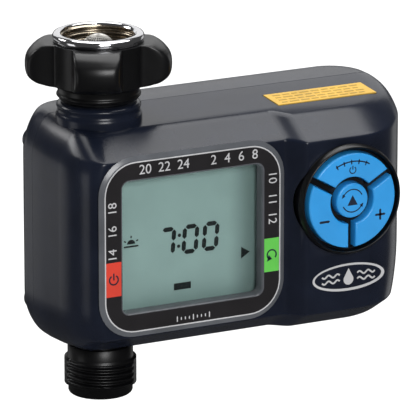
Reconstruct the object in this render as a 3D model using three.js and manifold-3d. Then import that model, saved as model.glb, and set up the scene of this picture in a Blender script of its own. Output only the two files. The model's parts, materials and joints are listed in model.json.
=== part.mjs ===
// Electronic water timer that hangs from a garden tap and feeds a drip line.
//
// Frame: millimetres, +Z up. The origin is the centre of the swivel ring's top face, where the
// tap screws in. The tap and the hose outlet share the Z axis. The front face looks along -Y,
// and +X runs to the right along the front.

import * as THREE from 'three';
import { mergeVertices } from 'three/addons/utils/BufferGeometryUtils.js';
import Module from 'manifold-3d';

const wasm = await Module();
wasm.setup();

// ---- Driving dimensions -------------------------------------------------------------------

const GAP = 0.3; // air left between pieces that touch

// Case: two shells that meet at the seam plane.
const LEFT = -21.3;
const RIGHT = 119;
const MID_Z = -72.8; // middle height of the case
const HALF_HEIGHT = 42.2; // at the seam
const SEAM_Y = 11;
const REAR_Y = 27.5;
const FACE_Y = -28.7; // front face of the left part; the right part stands STEP.rise prouder
const WALL = 3;
const DRAFT = 0.0704; // top and bottom close in by this much per millimetre in front of the seam
const STEP = { from: 59.2, to: 66.3, rise: 6 };
const BEVEL = { from: 34.3, run: 12.7 }; // starts this far above the middle, ends this far back
const CORNERS = { // seen from the front: width, height and how square each one is
  topLeft: { x: 7.5, z: 15, power: 1.6 },
  topRight: { x: 9.2, z: 9.5, power: 2.8 },
  lowLeft: { x: 8.8, z: 15, power: 1.6 },
  lowRight: { x: 7.8, z: 28, power: 1.85 },
};
const LEFT_ROUND = { x: 8, y: -8.3, lean: 1 };
const RIGHT_ROUND_X = 87.5; // the right side is one long ellipse from here to the seam
const REAR_ROUND = { side: 11.6, top: 1.5 };

// Water way, all on the Z axis.
const NECK_R = 10.2;
const NECK_HOLE_R = 10.5;
const INLET_BORE_R = 7;
const LOWER_BORE_R = 5.5;
const THREAD_PITCH = 2.209; // 3/4 inch garden hose thread, 11.5 per inch
const MALE_R = 13.5;
const KNOB_LOBES = 4;
const LOBE_TURN = THREE.MathUtils.degToRad(-27); // where the lobes stand at rest
const KNOB = { tip: 26.6, valley: 17.5, top: -3.1, skirt: 14.6, bottom: -23.8 };
const COLLAR = { r: 15.5, top: -25 };
const OUTLET = { neckTop: -115.1, threadTop: -119.8, threadEnd: -130, tip: -133.5 };

// Diaphragm valve: its own axis runs along +X at this height.
const VALVE_Z = -58;
const SEAT_X = 14.2;
const FLANGE_X = 15.7;
const SCREW_OFFSET = 11.5;
const COIL = { from: 27.1, to: 44, r: 9.5 };

// Display.
const BEZEL = { x: 22.4, z: -71.7, w: 70.8, h: 63.6, front: -30, r: 12.5, flareX: 1.4, flareZ: 0.4 };
const WINDOW = { w: 56.1, h: 49, r: 2.5 };
const BOARD_Y = -20.2; // front face of the circuit board
const BOARD = { left: -9.8, right: 101.5, top: -39.9, bottom: -104.8, thick: 1.6 };

// Keypad.
const KEYPAD = { x: 82.1, z: -63.2, rim: 20.6, floor: -35.2, keyTop: -38.4 };
const KEY = { inner: 8.7, outer: 17.5, side: 1.4, centre: 6.4, reach: 13.1 };
const KEY_ANGLES = { manual: 90, minus: 210, plus: 330 };

// Battery drawer, pulled out of the rear.
const TRAY = { left: 42, right: 101, bottom: -98.5, top: -79.5, front: -8.5, wall: 1.6 };
const CELL = { r: 7.1, length: 50.2, nub: 1.2, nubR: 2.6 };
const CELL_Z = TRAY.bottom + TRAY.wall + GAP + CELL.r;
const CELL_Y = [0.5, 15];

// Screws.
const COVER_SCREWS = [[-14.6, -43], [-14.6, -102.3], [106, -43], [106, -102.3]];
const COVER_SEAT = REAR_Y - 5; // where the heads of the cover screws rest
const COVER_SCREW = { headR: 3, headLength: 2, shankR: 1.5, end: -7 };
const COVER_BOSS = { frontR: 3.2, frontFrom: -17, rearR: 4.6, clear: 0.4 };
const BOARD_SCREWS = [[64, -44.5], [98, -44.5], [64, -100.5], [98, -100.5]];
const BOARD_SCREW = { headR: 2.2, headLength: 1.6, shankR: 1.1, end: -27, postR: 2.8 };
const BONNET_SCREW = { headR: 2.7, headLength: 2, shankR: 1.5, end: 9 };

// ---- Geometry helpers ---------------------------------------------------------------------

const TWO_PI = Math.PI * 2;
const UNIT_X = new THREE.Vector3(1, 0, 0);
const UNIT_Y = new THREE.Vector3(0, 1, 0);
const UNIT_Z = new THREE.Vector3(0, 0, 1);
const BACK = new THREE.Vector3(0, -1, 0);

// A shape is drawn in the plane across its axis: (y, z) for x, (x, z) for y and (x, y) for z.
const EXTRUDE_FRAMES = {
  x: new THREE.Matrix4().makeBasis(UNIT_Y, UNIT_Z, UNIT_X),
  y: new THREE.Matrix4().makeBasis(UNIT_X, UNIT_Z, BACK),
  z: new THREE.Matrix4(),
};

// A lathe profile is (radius, place along the axis).
const LATHE_FRAMES = {
  x: new THREE.Matrix4().makeBasis(UNIT_Z, UNIT_X, UNIT_Y),
  y: new THREE.Matrix4(),
  z: new THREE.Matrix4().makeBasis(UNIT_X, UNIT_Z, BACK),
};

function signedVolume(position, triangles) {
  const [a, b, c] = [new THREE.Vector3(), new THREE.Vector3(), new THREE.Vector3()];
  let volume = 0;
  for (let i = 0; i < triangles.length; i += 3) {
    a.fromBufferAttribute(position, triangles[i]);
    b.fromBufferAttribute(position, triangles[i + 1]);
    c.fromBufferAttribute(position, triangles[i + 2]);
    volume += a.dot(b.cross(c)) / 6;
  }
  return volume;
}

// Turns a closed three.js geometry into a solid whose faces point outwards.
function toSolid(geometry) {
  const bare = geometry.clone();
  bare.deleteAttribute('normal');
  bare.deleteAttribute('uv');
  const merged = mergeVertices(bare, 1e-4);
  const triangles = [];
  for (let i = 0; i < merged.index.count; i += 3) {
    const [a, b, c] = [0, 1, 2].map((k) => merged.index.getX(i + k));
    if (a !== b && b !== c && c !== a) triangles.push(a, b, c);
  }
  if (signedVolume(merged.attributes.position, triangles) < 0) triangles.reverse();
  return new wasm.Manifold(new wasm.Mesh({
    numProp: 3,
    vertProperties: new Float32Array(merged.attributes.position.array),
    triVerts: new Uint32Array(triangles),
  }));
}

function toGeometry(solid) {
  const mesh = solid.getMesh();
  const geometry = new THREE.BufferGeometry();
  geometry.setAttribute('position', new THREE.BufferAttribute(mesh.vertProperties, 3));
  geometry.setIndex(new THREE.BufferAttribute(mesh.triVerts, 1));
  geometry.computeVertexNormals();
  return geometry;
}

function extrude(shape, axis, from, to, segments = 8) {
  const options = { depth: to - from, bevelEnabled: false, curveSegments: segments };
  const geometry = new THREE.ExtrudeGeometry(shape, options);
  geometry.translate(0, 0, axis === 'y' ? -to : from);
  return toSolid(geometry.applyMatrix4(EXTRUDE_FRAMES[axis]));
}

function circle(a, b, radius) {
  return new THREE.Shape().absarc(a, b, radius, 0, TWO_PI, false);
}

// A round bar along an axis; its sides come in twos.
function rod(axis, a, b, radius, from, to, sides = 24) {
  return extrude(circle(a, b, radius), axis, from, to, sides / 2);
}

function ring(axis, a, b, outer, inner, from, to, sides = 24) {
  const shape = circle(a, b, outer);
  shape.holes.push(circle(a, b, inner));
  return extrude(shape, axis, from, to, sides / 2);
}

function block(x0, x1, y0, y1, z0, z1) {
  const geometry = new THREE.BoxGeometry(x1 - x0, y1 - y0, z1 - z0);
  return toSolid(geometry.translate((x0 + x1) / 2, (y0 + y1) / 2, (z0 + z1) / 2));
}

function lathe(axis, centre, profile, sides = 32) {
  const points = profile.map(([radius, along]) => new THREE.Vector2(radius, along));
  const geometry = new THREE.LatheGeometry(points, sides).applyMatrix4(LATHE_FRAMES[axis]);
  return toSolid(geometry.translate(...centre));
}

// A lathe profile that is a tube wall: the list is closed on itself.
function latheRing(axis, centre, profile, sides = 32) {
  return lathe(axis, centre, [...profile, profile[0]], sides);
}

function roundedRectangle(x, z, w, h, r) {
  const [left, right, low, high] = [x - w / 2, x + w / 2, z - h / 2, z + h / 2];
  const shape = new THREE.Shape();
  shape.absarc(right - r, low + r, r, -Math.PI / 2, 0, false);
  shape.absarc(right - r, high - r, r, 0, Math.PI / 2, false);
  shape.absarc(left + r, high - r, r, Math.PI / 2, Math.PI, false);
  shape.absarc(left + r, low + r, r, Math.PI, Math.PI * 1.5, false);
  return shape;
}

// Joins level rings of points into one closed body, flat at both ends, built up along an axis.
function loft(rings, axis = 'z') {
  const count = rings[0].length;
  const flat = rings[0].map((p) => new THREE.Vector2(p.x, p.y));
  const cap = THREE.ShapeUtils.triangulateShape(flat, []);
  const index = [];
  for (let level = 0; level < rings.length - 1; level += 1) {
    for (let i = 0; i < count; i += 1) {
      const a = level * count + i;
      const b = level * count + ((i + 1) % count);
      index.push(a, b, a + count, b, b + count, a + count);
    }
  }
  const last = (rings.length - 1) * count;
  cap.forEach(([a, b, c]) => index.push(c, b, a, last + a, last + b, last + c));
  const geometry = new THREE.BufferGeometry().setFromPoints(rings.flat());
  geometry.setIndex(index);
  return toSolid(geometry.applyMatrix4(EXTRUDE_FRAMES[axis]));
}

// A coil spring of square-cornered wire along an axis.
function coilSpring(axis, a, b, radius, wire, from, to, turns) {
  const stepsPerTurn = 8;
  const points = [];
  for (let i = 0; i <= turns * stepsPerTurn; i += 1) {
    const angle = (i / stepsPerTurn) * TWO_PI;
    const along = from + wire + ((to - from - 2 * wire) * i) / (turns * stepsPerTurn);
    const local = new THREE.Vector3(a + radius * Math.cos(angle), b + radius * Math.sin(angle), along);
    if (axis === 'y') local.z *= -1;
    points.push(local.applyMatrix4(EXTRUDE_FRAMES[axis]));
  }
  return wireAlong(points, wire, 4);
}

function wireAlong(points, radius, sides) {
  const section = new THREE.Shape();
  for (let i = 0; i < sides; i += 1) {
    const angle = (i / sides) * TWO_PI;
    const place = [radius * Math.cos(angle), radius * Math.sin(angle)];
    if (i === 0) section.moveTo(...place);
    else section.lineTo(...place);
  }
  const path = new THREE.CatmullRomCurve3(points);
  const geometry = new THREE.ExtrudeGeometry(section, { steps: points.length - 1, extrudePath: path });
  return toSolid(geometry);
}

const join = (...solids) => solids.reduce((all, next) => all.add(next));
const cut = (solid, ...tools) => tools.reduce((rest, tool) => rest.subtract(tool), solid);

// ---- Case envelope ------------------------------------------------------------------------

function smoothStep(t) {
  const clamped = Math.min(1, Math.max(0, t));
  return clamped * clamped * (3 - 2 * clamped);
}

// How far the sides, the front and the rear draw in at a height above or below the middle.
function drawIn(height) {
  const h = Math.abs(height);
  const cornerIn = (corner) => {
    const up = Math.max(0, (h - (HALF_HEIGHT - corner.z)) / corner.z);
    return corner.x * (1 - (1 - up ** corner.power) ** (1 / corner.power));
  };
  const bevel = Math.max(0, (h - BEVEL.from) / (HALF_HEIGHT - BEVEL.from));
  const soft = 0.14; // the bevel blends into the front face over this share of its height
  const front = BEVEL.run * (bevel < soft ? bevel ** 2 / (2 * soft) : bevel - soft / 2) / (1 - soft / 2);
  const top = Math.max(0, (h - (HALF_HEIGHT - REAR_ROUND.top)) / REAR_ROUND.top);
  const rear = REAR_ROUND.top * (1 - Math.sqrt(1 - top * top));
  const [leftCorner, rightCorner] = height < 0
    ? [CORNERS.lowLeft, CORNERS.lowRight] : [CORNERS.topLeft, CORNERS.topRight];
  return { left: cornerIn(leftCorner), right: cornerIn(rightCorner), front, rear };
}

// Points of a quarter ellipse, from one angle to the other.
function ellipsePoints(x, y, rx, ry, from, to, steps) {
  return Array.from({ length: steps + 1 }, (_, i) => {
    const angle = from + ((to - from) * i) / steps;
    return [x + rx * Math.cos(angle), y + ry * Math.sin(angle)];
  });
}

// Plan outline of the front half at one height, from the left end of the seam to the right end.
function frontPlan(height, inset, seam) {
  const draw = drawIn(height);
  const face = FACE_Y + draw.front + inset;
  const left = LEFT + draw.left + inset;
  const right = RIGHT - draw.right - inset;
  const { x, y, lean } = LEFT_ROUND;
  const leftPoints = ellipsePoints(
    left + x - inset + lean, y, x - inset, y - face, Math.PI, Math.PI * 1.5, 4);
  const stepPoints = Array.from({ length: 5 }, (_, i) => {
    const t = i / 4;
    return [STEP.from + (STEP.to - STEP.from) * t, face - STEP.rise * smoothStep(t)];
  });
  const reach = right - RIGHT_ROUND_X;
  const rightPoints = ellipsePoints(
    RIGHT_ROUND_X, SEAM_Y, reach, SEAM_Y - face + STEP.rise, Math.PI * 1.5, TWO_PI, 7);
  return [[left, seam], ...leftPoints, ...stepPoints, ...rightPoints, [right, seam + 1e-3]];
}

// Plan outline of the rear half, from the right end of the seam to the left end.
function rearPlan(height, inset, seam) {
  const draw = drawIn(height);
  const left = LEFT + draw.left + inset;
  const right = RIGHT - draw.right - inset;
  const r = REAR_ROUND.side - inset;
  const back = REAR_Y - draw.rear - inset;
  const rightPoints = ellipsePoints(right - r, back - r, r, r, 0, Math.PI / 2, 5);
  const leftPoints = ellipsePoints(left + r, back - r, r, r, Math.PI / 2, Math.PI, 5);
  return [[right, seam], ...rightPoints, ...leftPoints, [left, seam]];
}

// Heights, counted from the middle, at which each half's outline is drawn.
const FRONT_LEVELS = [14, 24, 30, 34.2, 35.8, 38.4, 40.6, HALF_HEIGHT];
const REAR_LEVELS = [14, 24, 30, 34.2, 38.4, 40.7, 41.6, HALF_HEIGHT];

function caseHalf(plan, levels, inset, seam) {
  const heights = [...levels.map((h) => -h).reverse(), ...levels];
  const squeeze = (HALF_HEIGHT - inset) / HALF_HEIGHT;
  return loft(heights.map((height) => plan(height, inset, seam).map(([x, y]) => {
    const taper = 1 - (DRAFT * Math.max(0, SEAM_Y - y)) / HALF_HEIGHT;
    return new THREE.Vector3(x, y, MID_Z + height * squeeze * taper);
  })));
}

// The outer shape, or the shape left inside a wall of the given thickness.
const frontBody = (inset, seam = SEAM_Y) => caseHalf(frontPlan, FRONT_LEVELS, inset, seam);
const rearBody = (inset, seam = SEAM_Y) => caseHalf(rearPlan, REAR_LEVELS, inset, seam);

// ---- Case parts ---------------------------------------------------------------------------

const FRONT_RIM = SEAM_Y - GAP / 2;
const REAR_RIM = SEAM_Y + GAP / 2;
const LABEL = { x0: 66, x1: 106, y0: -12, y1: 0, thick: 0.4, proud: 0.2 };
const BADGE = { x: 82.6, z: -92.7, rx: 14.8, rz: 5.2, thick: 0.8 };

// A block wider and taller than the case, between two depths.
const slab = (y0, y1) => block(LEFT - 10, RIGHT + 10, y0, y1, -140, 0);

const topSurface = (y) => MID_Z + HALF_HEIGHT - DRAFT * (SEAM_Y - y);

// A plate that follows the sloping top face; heights are counted from that face.
function topPlate(low, high, margin) {
  const [y0, y1] = [LABEL.y0 - margin, LABEL.y1 + margin];
  const shape = new THREE.Shape();
  shape.moveTo(y0, topSurface(y0) + low);
  shape.lineTo(y1, topSurface(y1) + low);
  shape.lineTo(y1, topSurface(y1) + high);
  shape.lineTo(y0, topSurface(y0) + high);
  return extrude(shape, 'x', LABEL.x0 - margin, LABEL.x1 + margin);
}

function badgePlate(from, to, margin) {
  const oval = new THREE.Shape();
  oval.absellipse(BADGE.x, BADGE.z, BADGE.rx + margin, BADGE.rz + margin, 0, TWO_PI, false, 0);
  return extrude(oval, 'y', from, to, 10);
}

function collar() {
  return rod('z', 0, 0, COLLAR.r, MID_Z + HALF_HEIGHT - WALL - 2, COLLAR.top, 24);
}

function frontShell() {
  const bezelSeat = loft([bezelOutline(-0.6, -0.6, -20), bezelOutline(-0.6, -0.6, FACE_Y)], 'y');
  const outer = join(frontBody(0), collar(), bezelSeat);
  const shell = cut(outer, frontBody(WALL, SEAM_Y + 6), slab(FRONT_RIM, 40));
  const { frontR, frontFrom } = COVER_BOSS;
  const bossBore = COVER_SCREW.shankR + GAP;
  const postBore = BOARD_SCREW.shankR + GAP;
  const bosses = COVER_SCREWS.map(([x, z]) => rod('y', x, z, frontR, frontFrom, FRONT_RIM, 12));
  const posts = BOARD_SCREWS.map(
    ([x, z]) => rod('y', x, z, BOARD_SCREW.postR, FACE_Y - 0.8, BOARD_Y - GAP, 12));
  const bossBores = COVER_SCREWS.map(([x, z]) => rod('y', x, z, bossBore, COVER_SCREW.end - 1, 30, 10));
  const postBores = BOARD_SCREWS.map(([x, z]) => rod('y', x, z, postBore, BOARD_SCREW.end - 1, 0, 8));
  const bezelHole = extrude(
    roundedRectangle(BEZEL.x, BEZEL.z, BEZEL.w - 4, BEZEL.h - 4, BEZEL.r - 2), 'y', -40, -20, 3);
  return cut(
    join(shell, ...bosses, ...posts),
    ...bossBores, ...postBores, bezelHole,
    rod('y', KEYPAD.x, KEYPAD.z, 20.1, -50, -21, 26),
    rod('z', 0, 0, NECK_HOLE_R, -140, 0, 24),
    topPlate(-(LABEL.thick + GAP - LABEL.proud), 5, GAP),
    badgePlate(-50, FACE_Y - STEP.rise + 0.9, GAP),
  );
}

function rearCover() {
  const wellWall = 1.6;
  const slack = 0.5;
  const { left, right, bottom, top, front } = TRAY;
  const outer = join(rearBody(0), collar());
  const shell = cut(outer, rearBody(WALL, SEAM_Y - 1), slab(-40, REAR_RIM));
  const inner = [left - slack, right + slack, front - slack, 40, bottom - slack, top + slack];
  const wall = [
    inner[0] - wellWall, inner[1] + wellWall, inner[2] - wellWall, REAR_Y - 1,
    inner[4] - wellWall, inner[5] + wellWall,
  ];
  const { rearR, clear } = COVER_BOSS;
  const bosses = COVER_SCREWS.map(
    ([x, z]) => rod('y', x, z, rearR, REAR_RIM, REAR_Y - 1.5, 12).intersect(rearBody(0)));
  const shanks = COVER_SCREWS.map(([x, z]) => rod('y', x, z, COVER_SCREW.shankR + clear, 0, 40, 10));
  const heads = COVER_SCREWS.map(
    ([x, z]) => rod('y', x, z, COVER_SCREW.headR + clear, COVER_SEAT - clear, 40, 12));
  const pins = BAY_PINS.map((x) => block(x - 1.2, x + 1.2, -20, 0, PIN_Z - 1.2, PIN_Z + 1.2));
  const sealGroove = cut(
    rearBody(0.9, SEAM_Y - 5), rearBody(2.3, SEAM_Y - 6), slab(REAR_RIM + 1.4, 40));
  return cut(
    join(shell, block(...wall), ...bosses), block(...inner), ...shanks, ...heads, ...pins, sealGroove);
}

function caseSeal() {
  return cut(
    rearBody(1.2, SEAM_Y - 5), rearBody(2, SEAM_Y - 6),
    slab(REAR_RIM + 1.1, 40), slab(-40, REAR_RIM));
}

function coverScrew([x, z]) {
  const { headR, headLength, shankR, end } = COVER_SCREW;
  const head = rod('y', x, z, headR, COVER_SEAT, COVER_SEAT + headLength, 12);
  const shank = rod('y', x, z, shankR, end, COVER_SEAT, 8);
  const slot = block(x - 2, x + 2, COVER_SEAT + 1.1, REAR_Y, z - 0.4, z + 0.4);
  return cut(join(head, shank), slot);
}

// ---- Display and circuit board ------------------------------------------------------------

// Outline of the bezel grown by a margin, at one depth, ready for a loft along Y.
function bezelOutline(growX, growZ, y) {
  const { x, z, w, h, r } = BEZEL;
  const shape = roundedRectangle(x, z, w + 2 * growX, h + 2 * growZ, r + growX);
  return shape.getPoints(3).map((point) => new THREE.Vector3(point.x, point.y, -y));
}

function displayBezel() {
  const { x, z, front, flareX, flareZ } = BEZEL;
  const back = FACE_Y - GAP;
  const plate = loft([bezelOutline(flareX, flareZ, back), bezelOutline(0, 0, front)], 'y');
  const plug = loft([bezelOutline(-2.3, -2.3, -23.2), bezelOutline(-2.3, -2.3, back)], 'y');
  const opening = extrude(roundedRectangle(x, z, WINDOW.w, WINDOW.h, WINDOW.r), 'y', -40, 0, 1);
  const rebate = extrude(roundedRectangle(x, z, WINDOW.w + 4.6, WINDOW.h + 4.6, 3), 'y', -25.5, 0, 1);
  return cut(join(plate, plug), opening, rebate);
}

function displayWindow() {
  return extrude(roundedRectangle(BEZEL.x, BEZEL.z, WINDOW.w + 4, WINDOW.h + 4, 2.7), 'y', -25.2, -23.8, 1);
}

function lcdPanel() {
  const { x, z } = BEZEL;
  return block(x - 31.5, x + 31.5, -22.9, BOARD_Y - GAP, z - 27.5, z + 27.5);
}

function circuitBoard() {
  const { left, right, top, bottom, thick } = BOARD;
  const board = block(left, right, BOARD_Y, BOARD_Y + thick, bottom, top);
  const holes = BOARD_SCREWS.map(([x, z]) => rod('y', x, z, 1.5, BOARD_Y - 5, 0, 8));
  return cut(board, ...holes);
}

function boardScrew([x, z]) {
  const { headR, headLength, shankR, end } = BOARD_SCREW;
  const seat = BOARD_Y + BOARD.thick + GAP;
  return join(
    rod('y', x, z, headR, seat, seat + headLength, 10), rod('y', x, z, shankR, end, seat, 6));
}

// ---- Keypad -------------------------------------------------------------------------------

// One third of a ring, its two straight sides set back from the spokes beside it.
function sector(degrees, inner, outer, side) {
  const middle = THREE.MathUtils.degToRad(degrees);
  const third = Math.PI / 3;
  const outerCut = third - Math.asin(side / outer);
  const innerCut = third - Math.asin(side / inner);
  const shape = new THREE.Shape();
  shape.absarc(KEYPAD.x, KEYPAD.z, outer, middle - outerCut, middle + outerCut, false);
  shape.absarc(KEYPAD.x, KEYPAD.z, inner, middle + innerCut, middle - innerCut, true);
  return shape;
}

function keypadSurround() {
  const { rim, floor } = KEYPAD;
  const cup = lathe('y', [KEYPAD.x, 0, KEYPAD.z], [
    [0, floor], [19, floor], [19, -38], [19.8, -38], [rim, -35.8], [rim, -35],
    [19.7, -35], [19.7, -31], [18.7, -31], [18.7, -33.4], [0, -33.4],
  ], 26);
  const keyHoles = Object.values(KEY_ANGLES).map((degrees) => extrude(
    sector(degrees, KEY.inner - 0.4, KEY.outer + 0.4, KEY.side - 0.4), 'y', -40, -30, 4));
  return cut(cup, ...keyHoles, rod('y', KEYPAD.x, KEYPAD.z, KEY.centre + 0.4, -40, -30, 20));
}

const KEY_FLANGE = { from: -33.1, to: -32.1 };
const STEM_END = -26;

function keyStem(x, z) {
  return rod('y', x, z, 1.8, KEY_FLANGE.to, STEM_END, 10);
}

// Where a key's stem and switch are.
function keyPlace(degrees) {
  const angle = THREE.MathUtils.degToRad(degrees);
  return [KEYPAD.x + KEY.reach * Math.cos(angle), KEYPAD.z + KEY.reach * Math.sin(angle)];
}

function sectorKey(degrees) {
  const { inner, outer, side } = KEY;
  const top = extrude(sector(degrees, inner + 0.6, outer - 0.6, side + 0.6), 'y', KEYPAD.keyTop, -37.8, 4);
  const key = extrude(sector(degrees, inner, outer, side), 'y', -37.8, KEY_FLANGE.from, 4);
  const flange = extrude(
    sector(degrees, inner - 0.8, outer + 0.8, side - 0.8), 'y', KEY_FLANGE.from, KEY_FLANGE.to, 4);
  return join(top, key, flange, keyStem(...keyPlace(degrees)));
}

function selectKey() {
  const { x, z } = KEYPAD;
  const r = KEY.centre;
  const body = lathe('y', [x, 0, z], [
    [0, KEYPAD.keyTop], [r - 0.6, KEYPAD.keyTop], [r, -37.8], [r, KEY_FLANGE.from],
    [r + 0.9, KEY_FLANGE.from], [r + 0.9, KEY_FLANGE.to], [0, KEY_FLANGE.to],
  ], 24);
  return join(body, keyStem(x, z));
}

function pushSwitch(x, z) {
  const base = block(x - 3, x + 3, -23.7, BOARD_Y - GAP, z - 3, z + 3);
  return join(base, rod('y', x, z, 1.7, STEM_END + 1.3, -23.7, 10));
}

// ---- Swivel inlet -------------------------------------------------------------------------

// Outline of the knob: broad lobes with rounded valleys between them.
function lobedOutline() {
  const shape = new THREE.Shape();
  const steps = KNOB_LOBES * 12;
  for (let i = 0; i < steps; i += 1) {
    const angle = (i / steps) * TWO_PI;
    const lobe = smoothStep((Math.cos(KNOB_LOBES * angle) + 0.6) / 1.2);
    const radius = KNOB.valley + (KNOB.tip - KNOB.valley) * lobe;
    const place = [radius * Math.cos(angle + LOBE_TURN), radius * Math.sin(angle + LOBE_TURN)];
    if (i === 0) shape.moveTo(...place);
    else shape.lineTo(...place);
  }
  return shape;
}

function swivelKnob() {
  const { tip, top, skirt, bottom } = KNOB;
  const turned = latheRing('z', [0, 0, 0], [
    [15.3, top], [20.6, top], [24, -4.7], [tip - 0.6, -7], [tip, -9.2], [tip, -12.8],
    [tip - 0.8, -15.4], [23.6, -17.3], [19.4, -18.3], [15.6, -18.6], [skirt, -19.2], [skirt, bottom],
    [NECK_HOLE_R + 0.1, bottom], [NECK_HOLE_R + 0.1, -15.6], [15.3, -15.6],
  ], 32);
  return turned.intersect(extrude(lobedOutline(), 'z', bottom - 1, 0));
}

function swivelRing() {
  const crest = 12.9;
  const root = 13.7;
  const grooves = [];
  for (let turn = 0; turn < 4; turn += 1) {
    const z = -1.2 - turn * THREAD_PITCH;
    grooves.push([crest, z], [root, z - 0.85], [crest, z - 1.7]);
  }
  return latheRing('z', [0, 0, 0], [
    [13.4, 0], [15.5, 0], [16.4, -1], [16.4, KNOB.top + GAP], [15, KNOB.top + GAP],
    [15, -15.3], [13.3, -15.3], [13.3, -10.2], ...grooves.reverse(),
  ], 20);
}

function swivelRetainer() {
  return ring('z', 0, 0, 12.4, 9.2, -15.3, -12.9, 20);
}

function inletWasher() {
  return latheRing('z', [0, 0, 0], [
    [7, -9.5], [12.5, -9.5], [12.5, -12.6], [9.6, -12.6], [9.6, -11.3], [7, -11.3],
  ], 20);
}

// A domed strainer with a rim that the washer holds down.
function filterScreen() {
  const outer = 6.4;
  const inner = 5.6;
  const spring = -6.9;
  const dome = (r) => [90, 60, 30, 0].map((degrees) => {
    const angle = THREE.MathUtils.degToRad(degrees);
    return [r * Math.cos(angle), spring + r * Math.sin(angle)];
  });
  return lathe('z', [0, 0, 0], [
    ...dome(outer), [outer, -11.6], [9.3, -11.6], [9.3, -12.6], [inner, -12.6], ...dome(inner).reverse(),
  ], 16);
}

// ---- Valve --------------------------------------------------------------------------------

const EARS = [[1, 1], [-1, 1], [-1, -1], [1, -1]].map(
  ([a, b]) => [a * SCREW_OFFSET, VALVE_Z + b * SCREW_OFFSET]);
const BONNET = { from: FLANGE_X + 1.6, flangeEnd: 22.3, to: 25, tubeEnd: 50 };

function valveFlange(from, to, earFrom, earTo) {
  const ears = EARS.map(([y, z]) => rod('x', y, z, 3.4, earFrom, earTo, 10));
  return join(rod('x', 0, VALVE_Z, 13, from, to, 24), ...ears);
}

function valveBody() {
  const solids = join(
    rod('z', 0, 0, NECK_R, -111, -15.6, 24),
    rod('z', 0, 0, 8.9, -16, -12.9, 24),
    rod('z', 0, 0, 12, -40.6, -38.6, 24),
    valveFlange(0, FLANGE_X, 8, FLANGE_X),
  );
  const screwHoles = EARS.map(([y, z]) => rod('x', y, z, BONNET_SCREW.shankR + GAP, 0, 30, 8));
  return cut(
    solids,
    rod('z', 0, 0, INLET_BORE_R, -40, 0, 16),
    rod('z', 0, 0, 8.2, -49.6, -40, 16),
    ring('x', 0, VALVE_Z, 10.8, 7.4, 6.5, 30, 20),
    rod('x', 0, VALVE_Z, 7.6, SEAT_X, 30, 20),
    rod('x', 0, VALVE_Z, 5.2, -2, 30, 16),
    rod('z', 0, 0, LOWER_BORE_R, -112, VALVE_Z, 16),
    rod('z', 0, 0, 8.3, -112, -103.5, 20),
    ...screwHoles,
  );
}

function diaphragm() {
  return latheRing('x', [0, 0, VALVE_Z], [
    [7, 16], [8.2, 16], [9, 16.6], [9.8, 16], [12.4, 16], [12.4, 17], [10.2, 17], [9, 17.8],
    [7.8, 17], [7, 17],
  ], 20);
}

// Rigid middle of the diaphragm, which lifts off the seat.
function valveDisc() {
  return lathe('x', [0, 0, VALVE_Z], [
    [0, SEAT_X + GAP], [6.7, SEAT_X + GAP], [6.7, 17.2], [2.4, 17.2], [2.4, 19.2], [0, 19.2],
  ], 18);
}

function valveBonnet() {
  const plate = valveFlange(BONNET.from, BONNET.flangeEnd, BONNET.from, BONNET.flangeEnd);
  const screwHoles = EARS.map(([y, z]) => rod('x', y, z, BONNET_SCREW.shankR + GAP, 0, 30, 8));
  return cut(
    plate.add(rod('x', 0, VALVE_Z, 9.6, 22, BONNET.to, 20))
      .add(rod('x', 0, VALVE_Z, 4.4, 24, BONNET.tubeEnd, 16)),
    lathe('x', [0, 0, VALVE_Z], [[0, 10], [10.3, 10], [10.3, 19.5], [6, 22.8], [0, 22.8]], 18),
    rod('x', 0, VALVE_Z, 1, 20, 26, 8),
    rod('x', 0, VALVE_Z, 3.5, BONNET.to, 60, 14),
    ...screwHoles,
  );
}

function bonnetScrew([y, z]) {
  const { headR, headLength, shankR, end } = BONNET_SCREW;
  const seat = BONNET.flangeEnd + GAP;
  return join(
    rod('x', y, z, headR, seat, seat + headLength, 10), rod('x', y, z, shankR, end, seat, 8));
}

function solenoidCoil() {
  return ring('x', 0, VALVE_Z, COIL.r, 4.7, COIL.from, COIL.to, 24);
}

function solenoidYoke() {
  const thick = 1.5;
  const [x0, x1] = [BONNET.to + GAP, COIL.to + GAP + thick];
  const z1 = VALVE_Z + COIL.r + GAP;
  const frame = cut(
    block(x0, x1, -7, 7, VALVE_Z - 8, z1 + thick),
    block(x0 + thick, x1 - thick, -9, 9, VALVE_Z - 9, z1),
  );
  return cut(frame, rod('x', 0, VALVE_Z, 4.7, 20, 60, 20));
}

function solenoidPlunger() {
  return rod('x', 0, VALVE_Z, 3.1, BONNET.to + GAP, 42.5, 16);
}

function solenoidStop() {
  const cap = rod('x', 0, VALVE_Z, 4.4, BONNET.tubeEnd + GAP, 52.3, 16);
  return join(rod('x', 0, VALVE_Z, 3.2, 47, 50.6, 16), cap);
}

// Lead from the coil to the back of the circuit board.
function coilLead(z) {
  const start = new THREE.Vector3(41, -COIL.r - 0.6, z);
  const middle = new THREE.Vector3(44.5, -13, z - 2);
  const end = new THREE.Vector3(45, BOARD_Y + BOARD.thick + GAP, z - 3);
  const curve = new THREE.QuadraticBezierCurve3(start, middle, end);
  return wireAlong(curve.getPoints(7), 0.7, 6);
}

// ---- Hose outlet --------------------------------------------------------------------------

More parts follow.
